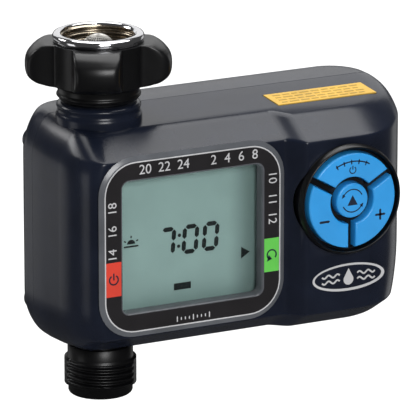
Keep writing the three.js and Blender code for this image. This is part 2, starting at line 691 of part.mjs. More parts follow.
function outletFitting() {
  const { neckTop, threadTop, threadEnd, tip } = OUTLET;
  const root = MALE_R - 1.15;
  const ridges = [];
  for (let turn = 0; turn < 4; turn += 1) {
    const z = threadTop - 0.7 - turn * THREAD_PITCH;
    ridges.push([root, z], [MALE_R, z - 0.9], [root, z - 1.8]);
  }
  return latheRing('z', [0, 0, 0], [
    [6.2, -104], [7.9, -104], [7.9, -106], [7, -106], [7, -108], [7.9, -108], [7.9, -111.3],
    [NECK_R, -111.3], [NECK_R, neckTop], [11.85, neckTop], [11.85, threadTop],
    [root, threadTop], ...ridges, [root, threadEnd + 0.3], [11.65, threadEnd], [11.65, tip + 0.7],
    [11, tip], [8.5, tip], [8.5, -117], [6.2, -114.5],
  ], 20);
}

function outletSeal() {
  return ring('z', 0, 0, 8.15, 7.15, -107.8, -106.2, 20);
}

// ---- Battery drawer -----------------------------------------------------------------------

const PIN_Z = -89;
const BAY_PINS = [50, 93];
const TRAY_SEAL = { from: 18.4, to: 20.4, depth: 1 };

function batteryTray() {
  const { left, right, bottom, top, front, wall } = TRAY;
  const body = block(left, right, front, REAR_Y, bottom, top);
  const hollow = block(left + wall, right - wall, front + wall, 22.4, bottom + wall, top + 5);
  const { from, to, depth } = TRAY_SEAL;
  const band = cut(
    block(left - 5, right + 5, from, to, bottom - 5, top + 5),
    block(left + depth, right - depth, from - 1, to + 1, bottom + depth, top - depth),
  );
  const finger = block(61.5, 81.5, REAR_Y - 1.8, 30, -93, -84);
  return cut(body, hollow, band, finger);
}

function traySeal() {
  const { left, right, bottom, top } = TRAY;
  const { from, to, depth } = TRAY_SEAL;
  const inner = depth - GAP;
  const outer = 0.2;
  return cut(
    block(left - outer, right + outer, from + GAP, to - GAP, bottom - outer, top + outer),
    block(left + inner, right - inner, from - 1, to + 1, bottom + inner, top - inner),
  );
}

// A round cell lying along X, its nub towards +X or -X.
function batteryCell(y, start, nubSign) {
  const end = start + CELL.length;
  const [bodyFrom, bodyTo] = nubSign > 0 ? [start, end - CELL.nub] : [start + CELL.nub, end];
  return join(
    rod('x', y, CELL_Z, CELL.r, bodyFrom, bodyTo, 24),
    rod('x', y, CELL_Z, CELL.nubR, start, end, 12),
  );
}

const LINK_X = TRAY.left + TRAY.wall + GAP;
const PLATE_X = TRAY.right - TRAY.wall - GAP;

function batteryLink() {
  return block(LINK_X, LINK_X + 0.5, -5, 20.5, CELL_Z - 6, CELL_Z + 5);
}

function batteryPlate(y) {
  return block(PLATE_X - 0.5, PLATE_X, y - 5, y + 5, CELL_Z - 6, CELL_Z + 5);
}

function cellSpring(y, from) {
  return coilSpring('x', y, CELL_Z, 3.2, 0.4, from, from + 3.1, 2);
}

function bayPin(x) {
  return block(x - 0.8, x + 0.8, BOARD_Y + BOARD.thick + GAP, TRAY.front - 0.6, PIN_Z - 0.8, PIN_Z + 0.8);
}

// ---- Assembly -----------------------------------------------------------------------------

const CASE = { color: 0x2b2f38, roughness: 0.5, metalness: 0 };
const BLACK = { color: 0x17181a, roughness: 0.45, metalness: 0 };
const BLUE = { color: 0x3296dc, roughness: 0.4, metalness: 0 };
const CHROME = { color: 0xc9ccd0, roughness: 0.15, metalness: 1 };
const STEEL = { color: 0x9fa3a8, roughness: 0.35, metalness: 1 };
const RUBBER = { color: 0x202020, roughness: 0.8, metalness: 0 };
const VALVE = { color: 0x1d1f22, roughness: 0.55, metalness: 0 };
const BRASS = { color: 0xb08a4a, roughness: 0.35, metalness: 1 };
const GREEN = { color: 0x1f5a36, roughness: 0.5, metalness: 0 };
const GLASS = { color: 0xdfe8e6, roughness: 0.05, metalness: 0, transparent: true, opacity: 0.3 };
const LCD = { color: 0x87a29c, roughness: 0.3, metalness: 0 };
const YELLOW = { color: 0xf0c040, roughness: 0.6, metalness: 0 };
const COPPER = { color: 0xa8552a, roughness: 0.4, metalness: 0.6 };
const CELL_SKIN = { color: 0xb5762d, roughness: 0.35, metalness: 0.4 };

const timer = new THREE.Group();

function addPart(name, solid, finish) {
  const mesh = new THREE.Mesh(toGeometry(solid), new THREE.MeshStandardMaterial(finish));
  mesh.name = name;
  timer.add(mesh);
}

addPart('front_shell', frontShell(), CASE);
addPart('rear_cover', rearCover(), CASE);
addPart('case_seal', caseSeal(), RUBBER);
COVER_SCREWS.forEach((place, i) => addPart(`cover_screw_${i + 1}`, coverScrew(place), STEEL));
addPart('top_label', topPlate(LABEL.proud - LABEL.thick, LABEL.proud, 0), YELLOW);
addPart('front_badge', badgePlate(FACE_Y - STEP.rise - 0.2, FACE_Y - STEP.rise + 0.6, 0), STEEL);

addPart('display_bezel', displayBezel(), BLACK);
addPart('display_window', displayWindow(), GLASS);
addPart('lcd_panel', lcdPanel(), LCD);
addPart('circuit_board', circuitBoard(), GREEN);
BOARD_SCREWS.forEach((place, i) => addPart(`board_screw_${i + 1}`, boardScrew(place), STEEL));

addPart('keypad_surround', keypadSurround(), BLACK);
Object.entries(KEY_ANGLES).forEach(([name, degrees]) => {
  addPart(`key_${name}`, sectorKey(degrees), BLUE);
  addPart(`switch_${name}`, pushSwitch(...keyPlace(degrees)), BLACK);
});
addPart('key_select', selectKey(), BLUE);
addPart('switch_select', pushSwitch(KEYPAD.x, KEYPAD.z), BLACK);

addPart('swivel_knob', swivelKnob(), BLACK);
addPart('swivel_ring', swivelRing(), CHROME);
addPart('swivel_retainer', swivelRetainer(), BLACK);
addPart('inlet_washer', inletWasher(), RUBBER);
addPart('filter_screen', filterScreen(), STEEL);

addPart('valve_body', valveBody(), VALVE);
addPart('diaphragm', diaphragm(), RUBBER);
addPart('valve_disc', valveDisc(), RUBBER);
addPart('valve_spring', coilSpring('x', 0, VALVE_Z, 3.8, 0.4, 17.5, 22.5, 3), STEEL);
addPart('valve_bonnet', valveBonnet(), VALVE);
EARS.forEach((place, i) => addPart(`bonnet_screw_${i + 1}`, bonnetScrew(place), STEEL));
addPart('solenoid_coil', solenoidCoil(), COPPER);
addPart('solenoid_yoke', solenoidYoke(), STEEL);
addPart('solenoid_plunger', solenoidPlunger(), STEEL);
addPart('plunger_spring', coilSpring('x', 0, VALVE_Z, 2.4, 0.4, 42.8, 46.7, 3), STEEL);
addPart('solenoid_stop', solenoidStop(), STEEL);
addPart('coil_lead_1', coilLead(VALVE_Z + 2), RUBBER);
addPart('coil_lead_2', coilLead(VALVE_Z - 2), RUBBER);
addPart('outlet_fitting', outletFitting(), BLACK);
addPart('outlet_seal', outletSeal(), RUBBER);

addPart('battery_tray', batteryTray(), BLACK);
addPart('tray_seal', traySeal(), RUBBER);
addPart('battery_link', batteryLink(), BRASS);
addPart('battery_spring_1', cellSpring(CELL_Y[0], LINK_X + 0.8), STEEL);
addPart('battery_cell_1', batteryCell(CELL_Y[0], LINK_X + 4.2, 1), CELL_SKIN);
addPart('battery_plate_1', batteryPlate(CELL_Y[0]), BRASS);
addPart('battery_cell_2', batteryCell(CELL_Y[1], LINK_X + 0.8, -1), CELL_SKIN);
addPart('battery_spring_2', cellSpring(CELL_Y[1], PLATE_X - 3.9), STEEL);
addPart('battery_plate_2', batteryPlate(CELL_Y[1]), BRASS);
BAY_PINS.forEach((x, i) => addPart(`bay_pin_${i + 1}`, bayPin(x), BRASS));

export default timer;
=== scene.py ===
"""Looks of a hose tap water timer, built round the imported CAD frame.

Shapes are worked out in millimetres in the frame's own axes and turned into metres when a mesh
is made. Each visible piece has its own function, and every material comes from surface().
"""

import json
from math import asin, cos, degrees as in_degrees, hypot, pi, radians, sin, sqrt

import bmesh
import bpy
from mathutils import Matrix, Vector


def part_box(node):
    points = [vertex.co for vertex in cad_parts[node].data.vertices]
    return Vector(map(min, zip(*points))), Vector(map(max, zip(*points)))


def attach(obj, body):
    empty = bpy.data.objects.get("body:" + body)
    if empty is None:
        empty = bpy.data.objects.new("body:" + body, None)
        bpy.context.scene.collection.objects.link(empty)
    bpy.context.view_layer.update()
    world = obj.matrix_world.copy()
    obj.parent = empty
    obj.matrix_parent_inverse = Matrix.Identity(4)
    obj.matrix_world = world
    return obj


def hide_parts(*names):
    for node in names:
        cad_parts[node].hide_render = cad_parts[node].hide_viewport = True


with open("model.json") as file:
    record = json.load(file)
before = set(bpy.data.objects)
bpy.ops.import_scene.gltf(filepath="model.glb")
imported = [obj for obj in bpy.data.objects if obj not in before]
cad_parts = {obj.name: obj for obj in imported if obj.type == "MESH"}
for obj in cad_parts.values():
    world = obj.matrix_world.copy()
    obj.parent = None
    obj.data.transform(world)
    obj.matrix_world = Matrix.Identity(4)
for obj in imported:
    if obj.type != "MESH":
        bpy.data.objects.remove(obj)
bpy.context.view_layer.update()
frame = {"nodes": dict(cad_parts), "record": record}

MM = 0.001
TAU = 2 * pi


# ---- Places taken from the frame ------------


class Box:
    """A CAD node's box at rest, in millimetres."""

    def __init__(self, node):
        low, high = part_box(node)
        self.low, self.high = low / MM, high / MM
        self.mid = (self.low + self.high) / 2
        self.size = self.high - self.low


def body_of(node):
    """Name of the CAD body that a node belongs to."""
    return next(b for b, nodes in frame["record"]["behaviour"]["bodies"].items() if node in nodes)


FRONT, REAR = Box("front_shell"), Box("rear_cover")
BEZEL_BOX, WINDOW_BOX, LCD_BOX = Box("display_bezel"), Box("display_window"), Box("lcd_panel")
PAD_BOX, TRAY_BOX, LABEL_BOX = Box("keypad_surround"), Box("battery_tray"), Box("top_label")
PAD_X, PAD_Z = PAD_BOX.mid.x, PAD_BOX.mid.z

GAP = 0.3  # between pieces that meet
WALL = 3.0  # thickness of the case
ON_AXIS = 0.01  # radius of a profile's end on its axis, so that no face folds to nothing

# The case, with the front face stepping forward between two places along X.
LEFT, RIGHT = FRONT.low.x, FRONT.high.x
HALF_HEIGHT = 42.2
MID_Z = FRONT.low.z + HALF_HEIGHT
SEAM_Y = FRONT.high.y + GAP / 2
REAR_Y = REAR.high.y
STEP = {"start": 59.2, "end": 66.3, "rise": 6.0}
FACE_Y = FRONT.low.y + STEP["rise"]
DRAFT = 0.0704  # how much the top and bottom slope towards the front
BEVEL_START, BEVEL_RUN, BEVEL_SOFT = 34.3, 12.7, 0.14
EDGE_ROUND, EDGE_DEPTH = 1.3, 1.1  # the bevel rolls over into the top face
CORNERS = {  # width, height and squareness of each corner seen from the front
    "top_left": (7.5, 15.0, 1.6),
    "top_right": (9.2, 9.5, 2.8),
    "low_left": (8.8, 15.0, 1.6),
    "low_right": (7.8, 28.0, 1.85),
}
LEFT_ROUND_X, LEFT_ROUND_Y, LEFT_LEAN = 8.0, -8.3, 1.0  # the left side rolls into the face
RIGHT_ROUND_X = 87.5  # and the face into the right side
REAR_SIDE_R, REAR_TOP_R = 11.6, 1.5

# Cutting tools reach past the case on every side.
PAST_LEFT, PAST_RIGHT, PAST_FRONT, PAST_REAR, PAST_LOW, PAST_HIGH = -40, 140, -40, 60, -150, 10

NECK_HOLE_R, NECK_HOLE_LOW = 10.5, -140
COLLAR_R, COLLAR_TOP = 15.5, FRONT.high.z
LABEL_BED, LABEL_RISE = 0.7, 0.2  # the label lies in a flat and stands a little proud
LOBE_TURN = radians(-27)
KNOB_LOBES, KNOB_VALLEY, KNOB_TIP = 4, 17.5, 26.5
THREAD_PITCH = 2.209

BEZEL_FLARE, BEZEL_CORNER_R = 1.4, 12.5
BEZEL_EXTRA = 2.0  # height beyond the CAD node's
WINDOW_MARGIN = 2.4  # of the pane, hidden behind the bezel
OVERLAY_INSET = 0.9
PRINT_FRONT = BEZEL_BOX.low.y  # the bezel's front plane, where the printing lies
COVER_SCREWS = [Box(f"cover_screw_{i}") for i in (1, 2, 3, 4)]
KEY_ANGLES = {"key_manual": 90, "key_minus": 210, "key_plus": 330}
KEY_INNER, KEY_OUTER, KEY_CENTRE = 8.7, 17.5, 6.4  # radii of the keys
KEY_SIDE, KEY_REACH = 1.4, 13.1  # from a spoke's middle to a key, and from the centre to a stem
KEY_SLACK, FLANGE_FRONT = 0.4, -33.1  # round each key, and where its hidden flange starts


# ---- Mesh helpers ------------


def add_object(name, data):
    thing = bpy.data.objects.new(name, data)
    bpy.context.scene.collection.objects.link(thing)
    return thing


def new_piece(name, points, faces):
    mesh = bpy.data.meshes.new(name)
    mesh.from_pydata([Vector(p) * MM for p in points], [], faces)
    mesh.validate()
    outward(mesh)
    return add_object(name, mesh)


def outward(mesh):
    """Makes every face point out of the closed mesh."""
    work = bmesh.new()
    work.from_mesh(mesh)
    bmesh.ops.recalc_face_normals(work, faces=work.faces)
    work.to_mesh(mesh)
    work.free()


def strip(count, start, after):
    """Faces between two rings of count points, whose first points are numbered start and after."""
    turns = [(i, (i + 1) % count) for i in range(count)]
    return [(start + i, start + j, after + j, after + i) for i, j in turns]


def loft(name, rings):
    """Closed body through rings with the same number of points, flat at both ends."""
    count = len(rings[0])
    last = (len(rings) - 1) * count
    faces = [face for start in range(0, last, count) for face in strip(count, start, start + count)]
    faces += [tuple(reversed(range(count))), tuple(range(last, last + count))]
    return new_piece(name, [p for ring in rings for p in ring], faces)


def tube(name, rings):
    """Closed body through rings with the same number of points, the last joined to the first."""
    count = len(rings[0])
    total = len(rings) * count
    faces = []
    for start in range(0, total, count):
        faces += strip(count, start, (start + count) % total)
    return new_piece(name, [p for ring in rings for p in ring], faces)


AXES = {  # how a turned section's two cross directions and its axis lie in X, Y, Z
    "z": lambda a, b, along: (a, b, along),
    "y": lambda a, b, along: (a, along, b),
}


def turned_solid(name, profile, steps, axis="z", centre=(0, 0, 0)):
    """Closed body of revolution whose profile starts and ends close to the axis."""
    angles = [TAU * step / steps for step in range(steps)]
    rings = []
    for radius, along in profile:
        spots = [AXES[axis](radius * cos(t), radius * sin(t), along) for t in angles]
        rings.append([[s + c for s, c in zip(spot, centre)] for spot in spots])
    return loft(name, rings)


def turned(name, section, steps):
    """Closed tube round Z: section(angle) is a closed list of (radius, z) points round the wall."""
    angles = [TAU * step / steps for step in range(steps)]
    return tube(name, [[(r * cos(t), r * sin(t), z) for r, z in section(t)] for t in angles])


def stack(name, levels):
    """Closed body through (x, z) outlines, each at its own depth y."""
    return loft(name, [[(x, y, z) for x, z in outline] for outline, y in levels])


def rounded(profile, radius, steps=3):
    """Rounds the corners of an open (radius, along) profile."""
    most = 0.45  # share of a side that a corner may take up
    out = [profile[0]]
    for before, corner, after in zip(profile, profile[1:], profile[2:]):
        p, q, r = Vector(before), Vector(corner), Vector(after)
        reach = min(radius, (p - q).length * most, (r - q).length * most)
        start, end = q + (p - q).normalized() * reach, q + (r - q).normalized() * reach
        for i in range(steps + 1):
            t = i / steps
            out.append(tuple(start.lerp(q, t).lerp(q.lerp(end, t), t)))
    out.append(profile[-1])
    return out


def polar(x, z, radius, degrees):
    angle = radians(degrees)
    return x + radius * cos(angle), z + radius * sin(angle)


def arc(x, z, radius_x, radius_z, start, end, steps):
    """Points of an ellipse arc; the angles are in degrees."""
    angles = [radians(start + (end - start) * i / steps) for i in range(steps + 1)]
    return [(x + radius_x * cos(t), z + radius_z * sin(t)) for t in angles]


def oval(x, z, radius_x, radius_z):
    return arc(x, z, radius_x, radius_z, 0, 355, 71)


def rounded_rectangle(x, z, w, h, r, steps=10):
    u, v = w / 2 - r, h / 2 - r
    points = []
    for px, pz, start in ((x + u, z - v, -90), (x + u, z + v, 0), (x - u, z + v, 90), (x - u, z - v, 180)):
        points += arc(px, pz, r, r, start, start + 90, steps)
    return points


def box_outline(box, inset, corner_r):
    """Rounded outline of a box seen from the front, drawn in by inset."""
    w, h = box.size.x - 2 * inset, box.size.z - 2 * inset
    return rounded_rectangle(box.mid.x, box.mid.z, w, h, corner_r)


def plate(name, outline, front, back, edge, steps=4):
    """Plate facing -Y with a rounded front edge. outline(inset) gives its (x, z) points."""
    levels = []
    for i in range(steps + 1):
        turn = pi / 2 * i / steps
        inset = edge * (1 - sin(turn))
        levels.append((outline(inset), front + edge * (1 - cos(turn))))
    return stack(name, levels + [(outline(0), back)])


def corners(x0, x1, z0, z1):
    return [(x0, z0), (x1, z0), (x1, z1), (x0, z1)]


def block(x0, x1, y0, y1, z0, z1):
    return stack(SHORT_LIVED, [(corners(x0, x1, z0, z1), y) for y in (y0, y1)])


ADD, CUT = "UNION", "DIFFERENCE"
SHORT_LIVED = "part"  # name of the solids that are soon merged, joined or cut away


def carve(piece, *steps):
    """Joins solids to a piece or cuts them from it, one after the other, and uses them up."""
    for operation, tool in steps:
        modifier = piece.modifiers.new(operation, "BOOLEAN")
        modifier.operation, modifier.solver, modifier.object = operation, "EXACT", tool
    apply_modifiers(piece)
    for _, tool in steps:
        bpy.data.objects.remove(tool)
    return piece


def apply_modifiers(piece):
    bpy.context.view_layer.update()
    ready = piece.evaluated_get(bpy.context.evaluated_depsgraph_get())
    mesh = bpy.data.meshes.new_from_object(ready)
    piece.modifiers.clear()
    old, piece.data = piece.data, mesh
    bpy.data.meshes.remove(old)
    mesh.name = piece.name


def merge(name, pieces):
    """One piece out of several."""
    work = bmesh.new()
    for piece in pieces:
        piece.data.transform(piece.matrix_world)
        work.from_mesh(piece.data)
        bpy.data.objects.remove(piece)
    mesh = bpy.data.meshes.new(name)
    work.to_mesh(mesh)
    work.free()
    return add_object(name, mesh)


def finish_piece(piece, look, body, stands_for=(), sharp=32):
    """Smooth shading with crisp edges, a material, and a body to ride on."""
    mesh = piece.data
    mesh.shade_smooth()
    mesh.set_sharp_from_angle(angle=radians(sharp))
    mesh.materials.clear()
    mesh.materials.append(look)
    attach(piece, body)
    if stands_for:
        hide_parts(*stands_for)


# ---- Materials ------------

CLOUD_SCALE, GLOSS_SCALE = 90, 260  # waves per metre of the colour's and the gloss's wandering
GLOSS_SPREAD = 0.12
GRAIN_HEIGHT = 0.03  # mm
WORN_COLOUR = (0.12, 0.125, 0.14, 1)
MIX_FACTOR, MIX_A, MIX_B, MIX_RESULT = 0, 6, 7, 2  # sockets of a mix node that mixes colours


def surface(name, colour, roughness, tint=0.15, grain=900, bump=0.15, wear=0.0, **fixed):
    """Principled material: uneven colour and gloss, fine grain as bump, lighter worn edges.

    tint is how far the colour wanders, grain is in waves per metre, and fixed holds values set
    straight on the shader's sockets.
    """
    look = bpy.data.materials.new(name)
    look.use_nodes = True
    links = look.node_tree.links
    shader = look.node_tree.nodes["Principled BSDF"]
    set_inputs(shader, Roughness=roughness, **fixed)

    place = add_node(look, "TexCoord").outputs["Object"]
    ramp = add_node(look, "ValToRGB")
    dark, light = ramp.color_ramp.elements
    dark.position, light.position = 0.3, 0.7
    dark.color = [*(c * (1 - tint) for c in colour), 1]
    light.color = [*(min(1, c * (1 + tint)) for c in colour), 1]
    links.new(noise(look, place, CLOUD_SCALE, 3), ramp.inputs["Fac"])
    paint = ramp.outputs["Color"]
    if wear:
        paint = worn_edges(look, paint, wear)
    links.new(paint, shader.inputs["Base Color"])

    gloss = add_node(look, "MapRange", To_Min=roughness * (1 - GLOSS_SPREAD),
                     To_Max=min(1, roughness * (1 + GLOSS_SPREAD)))
    links.new(noise(look, place, GLOSS_SCALE, 4), gloss.inputs["Value"])
    links.new(gloss.outputs["Result"], shader.inputs["Roughness"])

    if bump:
        relief = add_node(look, "Bump", Strength=bump, Distance=GRAIN_HEIGHT * MM)
        links.new(noise(look, place, grain, 2), relief.inputs["Height"])
        links.new(relief.outputs["Normal"], shader.inputs["Normal"])
    return look


def set_inputs(node, **values):
    """Sets a node's inputs by name, where an underscore stands for a space."""
    for socket, value in values.items():
        node.inputs[socket.replace("_", " ")].default_value = value


def add_node(look, kind, **values):
    node = look.node_tree.nodes.new("ShaderNode" + kind)
    set_inputs(node, **values)
    return node


def noise(look, place, scale, detail):
    node = add_node(look, "TexNoise", Scale=scale, Detail=detail)
    look.node_tree.links.new(place, node.inputs["Vector"])
    return node.outputs["Fac"]


def worn_edges(look, paint, amount):
    """Mixes a paler colour into the paint where the surface is sharply convex."""
    links = look.node_tree.links
    edge = add_node(look, "MapRange", From_Min=0.52, From_Max=0.62, To_Max=amount)
    links.new(add_node(look, "NewGeometry").outputs["Pointiness"], edge.inputs["Value"])
    mix = add_node(look, "Mix")
    mix.data_type = "RGBA"
    mix.inputs[MIX_B].default_value = WORN_COLOUR
    links.new(edge.outputs["Result"], mix.inputs[MIX_FACTOR])
    links.new(paint, mix.inputs[MIX_A])
    return mix.outputs[MIX_RESULT]


def darken_along_x(look, start, end, amount):
    """Lets the colour fall to a share of itself between two places along X."""
    links = look.node_tree.links
    base = look.node_tree.nodes["Principled BSDF"].inputs["Base Color"]
    paint = base.links[0].from_socket
    split = add_node(look, "SeparateXYZ")
    links.new(add_node(look, "TexCoord").outputs["Object"], split.inputs["Vector"])
    fade = add_node(look, "MapRange", From_Min=start * MM, From_Max=end * MM, To_Min=1.0, To_Max=amount)
    fade.interpolation_type = "SMOOTHSTEP"
    links.new(split.outputs["X"], fade.inputs["Value"])
    shade = add_node(look, "VectorMath")
    shade.operation = "SCALE"
    links.new(paint, shade.inputs[0])
    links.new(fade.outputs["Result"], shade.inputs["Scale"])
    links.new(shade.outputs["Vector"], base)


CASE = surface("case_plastic", (0.007, 0.0095, 0.0185), 0.25, grain=2600, bump=0.2, wear=0.08,
               Specular_IOR_Level=0.3)
BLACK = surface("black_plastic", (0.003, 0.003, 0.0034), 0.33, grain=2200, bump=0.12, wear=0.06,
                Specular_IOR_Level=0.35)
OUTLET = surface("outlet_plastic", (0.0022, 0.0022, 0.0026), 0.36, grain=1800, bump=0.15,
                 Specular_IOR_Level=0.3)
# The bezel is black plastic; this grey is painted light, standing in for the light that its flare and
# inner walls catch.
BEZEL_LIT_GREY = surface("bezel_painted_lit_grey", (0.085, 0.09, 0.10), 0.26, grain=2400, bump=0.06)
OVERLAY = surface("printed_panel", (0.0115, 0.010, 0.0115), 0.4, grain=3000, bump=0.08)
PRINT = surface("light_ink", (0.45, 0.45, 0.46), 0.55, tint=0.1, grain=4000, bump=0.1)
RED = surface("red_ink", (0.60, 0.033, 0.012), 0.5, tint=0.08, grain=4000, bump=0.1)
GREEN_INK = surface("green_ink", (0.10, 0.50, 0.06), 0.5, tint=0.08, grain=4000, bump=0.1)
DARK_INK = surface("dark_ink", (0.006, 0.012, 0.03), 0.5, grain=4000, bump=0.1)
BLUE = surface("key_plastic", (0.02, 0.27, 0.64), 0.36, tint=0.06, grain=2600, bump=0.15)
YELLOW = surface("label_yellow", (0.60, 0.36, 0.035), 0.42, tint=0.12, grain=1400, bump=0.25)
CHROME = surface("chrome", (0.72, 0.72, 0.74), 0.11, tint=0.05, grain=500, bump=0.05, Metallic=1.0)
BRASSY = surface("brassy_thread", (0.40, 0.345, 0.27), 0.24, tint=0.2, grain=700, bump=0.1,
                 Metallic=1.0)
STEEL = surface("steel", (0.45, 0.46, 0.48), 0.3, tint=0.1, grain=1500, bump=0.1, Metallic=1.0)
MESH_WIRE = surface("strainer_wire", (0.32, 0.31, 0.29), 0.42, tint=0.4, grain=1500, bump=0.3,
                    Metallic=1.0)
RUBBER = surface("rubber", (0.014, 0.014, 0.014), 0.75, grain=1600, bump=0.3)
VALVE = surface("valve_plastic", (0.012, 0.012, 0.014), 0.45, grain=1500, bump=0.2)
BOARD = surface("board_green", (0.012, 0.11, 0.045), 0.35, tint=0.2, grain=600, bump=0.1)
COPPER = surface("coil_winding", (0.42, 0.13, 0.05), 0.35, tint=0.2, grain=1200, bump=0.3)
BRASS = surface("brass", (0.55, 0.38, 0.13), 0.3, tint=0.1, Metallic=1.0)
CELL = surface("cell_skin", (0.40, 0.17, 0.04), 0.3, tint=0.2)
SEGMENT = surface("lcd_segment", (0.006, 0.010, 0.010), 0.45, tint=0.1, grain=3000, bump=0.05)
LCD = surface("lcd_face", (0.33, 0.50, 0.47), 0.4, tint=0.04, bump=0.0)
darken_along_x(LCD, 39.0, 50.0, 0.55)  # where the deep bezel keeps the light off
LABEL_INK = surface("label_ink", (0.33, 0.20, 0.02), 0.5, grain=3000, bump=0.1)
GLASS = surface("window_clear", (0.02, 0.03, 0.03), 0.06, tint=0.02, bump=0.0, Alpha=0.12)


# ---- Case ------------


def smooth_step(t):
    """0 to 1 with a soft start and end."""
    t = min(1.0, max(0.0, t))
    return t * t * (3 - 2 * t)


def draw_in(height):
    """How far the left, right, front and rear draw in at a height from the middle."""
    h = min(abs(height), HALF_HEIGHT)

    def corner(width, reach, power):
        up = max(0.0, (h - (HALF_HEIGHT - reach)) / reach)
        return width * (1 - max(0.0, 1 - up**power) ** (1 / power))

    side = "low" if height < 0 else "top"
    left, right = (corner(*CORNERS[f"{side}_{end}"]) for end in ("left", "right"))
    rise = max(0.0, (h - BEVEL_START) / (HALF_HEIGHT - BEVEL_START))
    eased = rise**2 / (2 * BEVEL_SOFT) if rise < BEVEL_SOFT else rise - BEVEL_SOFT / 2
    roll = max(0.0, (h - (HALF_HEIGHT - EDGE_ROUND)) / EDGE_ROUND)
    front = BEVEL_RUN * eased / (1 - BEVEL_SOFT / 2) + EDGE_DEPTH * (1 - sqrt(1 - roll * roll))
    top = max(0.0, (h - (HALF_HEIGHT - REAR_TOP_R)) / REAR_TOP_R)
    rear = REAR_TOP_R * (1 - sqrt(1 - top * top))
    return left, right, front, rear


def front_plan(height, inset, seam):
    """Open (x, y) outline of the front half, from the left end of the seam to the right one."""
    step_points = 24
    left, right, front, _ = draw_in(height)
    face = FACE_Y + front + inset
    left, right = LEFT + left + inset, RIGHT - right - inset
    points = [(left, seam), (left, (seam + LEFT_ROUND_Y) / 2)]
    points += arc(
        left + LEFT_ROUND_X - inset + LEFT_LEAN, LEFT_ROUND_Y,
        LEFT_ROUND_X - inset, LEFT_ROUND_Y - face, 180, 270, 28)
    for i in range(step_points + 1):
        t = i / step_points
        x = STEP["start"] + (STEP["end"] - STEP["start"]) * t
        points.append((x, face - STEP["rise"] * smooth_step(t)))
    points += arc(
        RIGHT_ROUND_X, SEAM_Y, right - RIGHT_ROUND_X, SEAM_Y - face + STEP["rise"], 270, 360, 48)
    return points + [(right, seam + 0.001)]


def rear_plan(height, inset, seam):
    """Open (x, y) outline of the rear half, from the right end of the seam to the left one."""
    left, right, _, rear = draw_in(height)
    left, right = LEFT + left + inset, RIGHT - right - inset
    r, back = REAR_SIDE_R - inset, REAR_Y - rear - inset
    points = [(right, seam)] + arc(right - r, back - r, r, r, 0, 90, 20)
    return points + arc(left + r, back - r, r, r, 90, 180, 20) + [(left, seam)]


def case_levels():
    """Heights at which the outline is drawn, close together where it turns quickly."""
    calm_step, busy_start, busy_step, edge_steps = 4, 30, 0.35, 8
    calm = list(range(0, busy_start, calm_step))
    busy = [busy_start + busy_step * i for i in range(31)]
    quarter = pi / 2
    edge = [HALF_HEIGHT - EDGE_ROUND * cos(quarter * i / edge_steps) for i in range(edge_steps + 1)]
    upper = sorted(set(calm + [h for h in busy if h < edge[0] - 0.1] + edge))
    return [-h for h in reversed(upper[1:])] + upper


def case_half(name, plan, inset, seam):
    """One half of the case as a solid body that ends at y = seam, drawn in by inset."""
    squeeze = (HALF_HEIGHT - inset) / HALF_HEIGHT
    rings = []
    for height in case_levels():
        ring = []
        for x, y in plan(height, inset, seam):
            taper = 1 - DRAFT * max(0.0, SEAM_Y - y) / HALF_HEIGHT
            ring.append((x, y, MID_Z + height * squeeze * taper))
        rings.append(ring)
    return loft(name, rings)


def collar_solid():
    """Round boss that the swivel neck stands in, with a groove under its rim."""
    low = MID_Z + HALF_HEIGHT - WALL - 2
    r, top = COLLAR_R, COLLAR_TOP
    profile = [(ON_AXIS, low), (r, low), (r, top - 4.6), (r - 0.7, top - 3.4), (r - 0.7, top - 2.3),
               (r - 0.2, top - 1.2), (r - 1.2, top), (ON_AXIS, top)]
    return turned_solid("collar", rounded(profile, 0.8), 72)


def rod(axis, centre, radius, start, end, steps=48):
    return turned_solid(SHORT_LIVED, [(radius, start), (radius, end)], steps, axis, centre)


def neck_hole():
    return rod("z", (0, 0, 0), NECK_HOLE_R, NECK_HOLE_LOW, 0, 72)


def bezel_outline(grow):
    """Outline of the bezel's front, moved out by grow."""
    draw = 2 * (grow - BEZEL_FLARE)
    w, h = BEZEL_BOX.size.x + draw, BEZEL_BOX.size.z + BEZEL_EXTRA + draw
    return rounded_rectangle(BEZEL_BOX.mid.x, BEZEL_BOX.mid.z, w, h, BEZEL_CORNER_R + grow)


def case_front():
    """Front shell: a seat and an opening for the bezel, and holes for the keypad and the neck."""
    seat_inset, seat_back = 0.6, -20
    opening_inset, opening_back = 2, -15
    pad_hole_r, pad_hole_front, pad_hole_back = 20.1, -50, -21
    shell = case_half("case_front", front_plan, 0, SEAM_Y)
    seat = stack("seat", [(bezel_outline(-seat_inset), y) for y in (FACE_Y, seat_back)])
    opening = stack("opening", [(bezel_outline(-opening_inset), y) for y in (PAST_FRONT, opening_back)])
    pad = (PAD_X, 0, PAD_Z)
    carve(
        shell,
        (ADD, collar_solid()),
        (ADD, seat),
        (CUT, case_half("hollow", front_plan, WALL, SEAM_Y + 6)),
        (CUT, block(PAST_LEFT, PAST_RIGHT, SEAM_Y - GAP / 2, PAST_REAR, PAST_LOW, PAST_HIGH)),
        (CUT, opening),
        (CUT, rod("y", pad, pad_hole_r, pad_hole_front, pad_hole_back, 96)),
        (CUT, neck_hole()),
        (CUT, label_plate("label_bed", GAP, -LABEL_BED, 5)),
    )
    finish_piece(shell, CASE, "case", ["front_shell"], sharp=40)


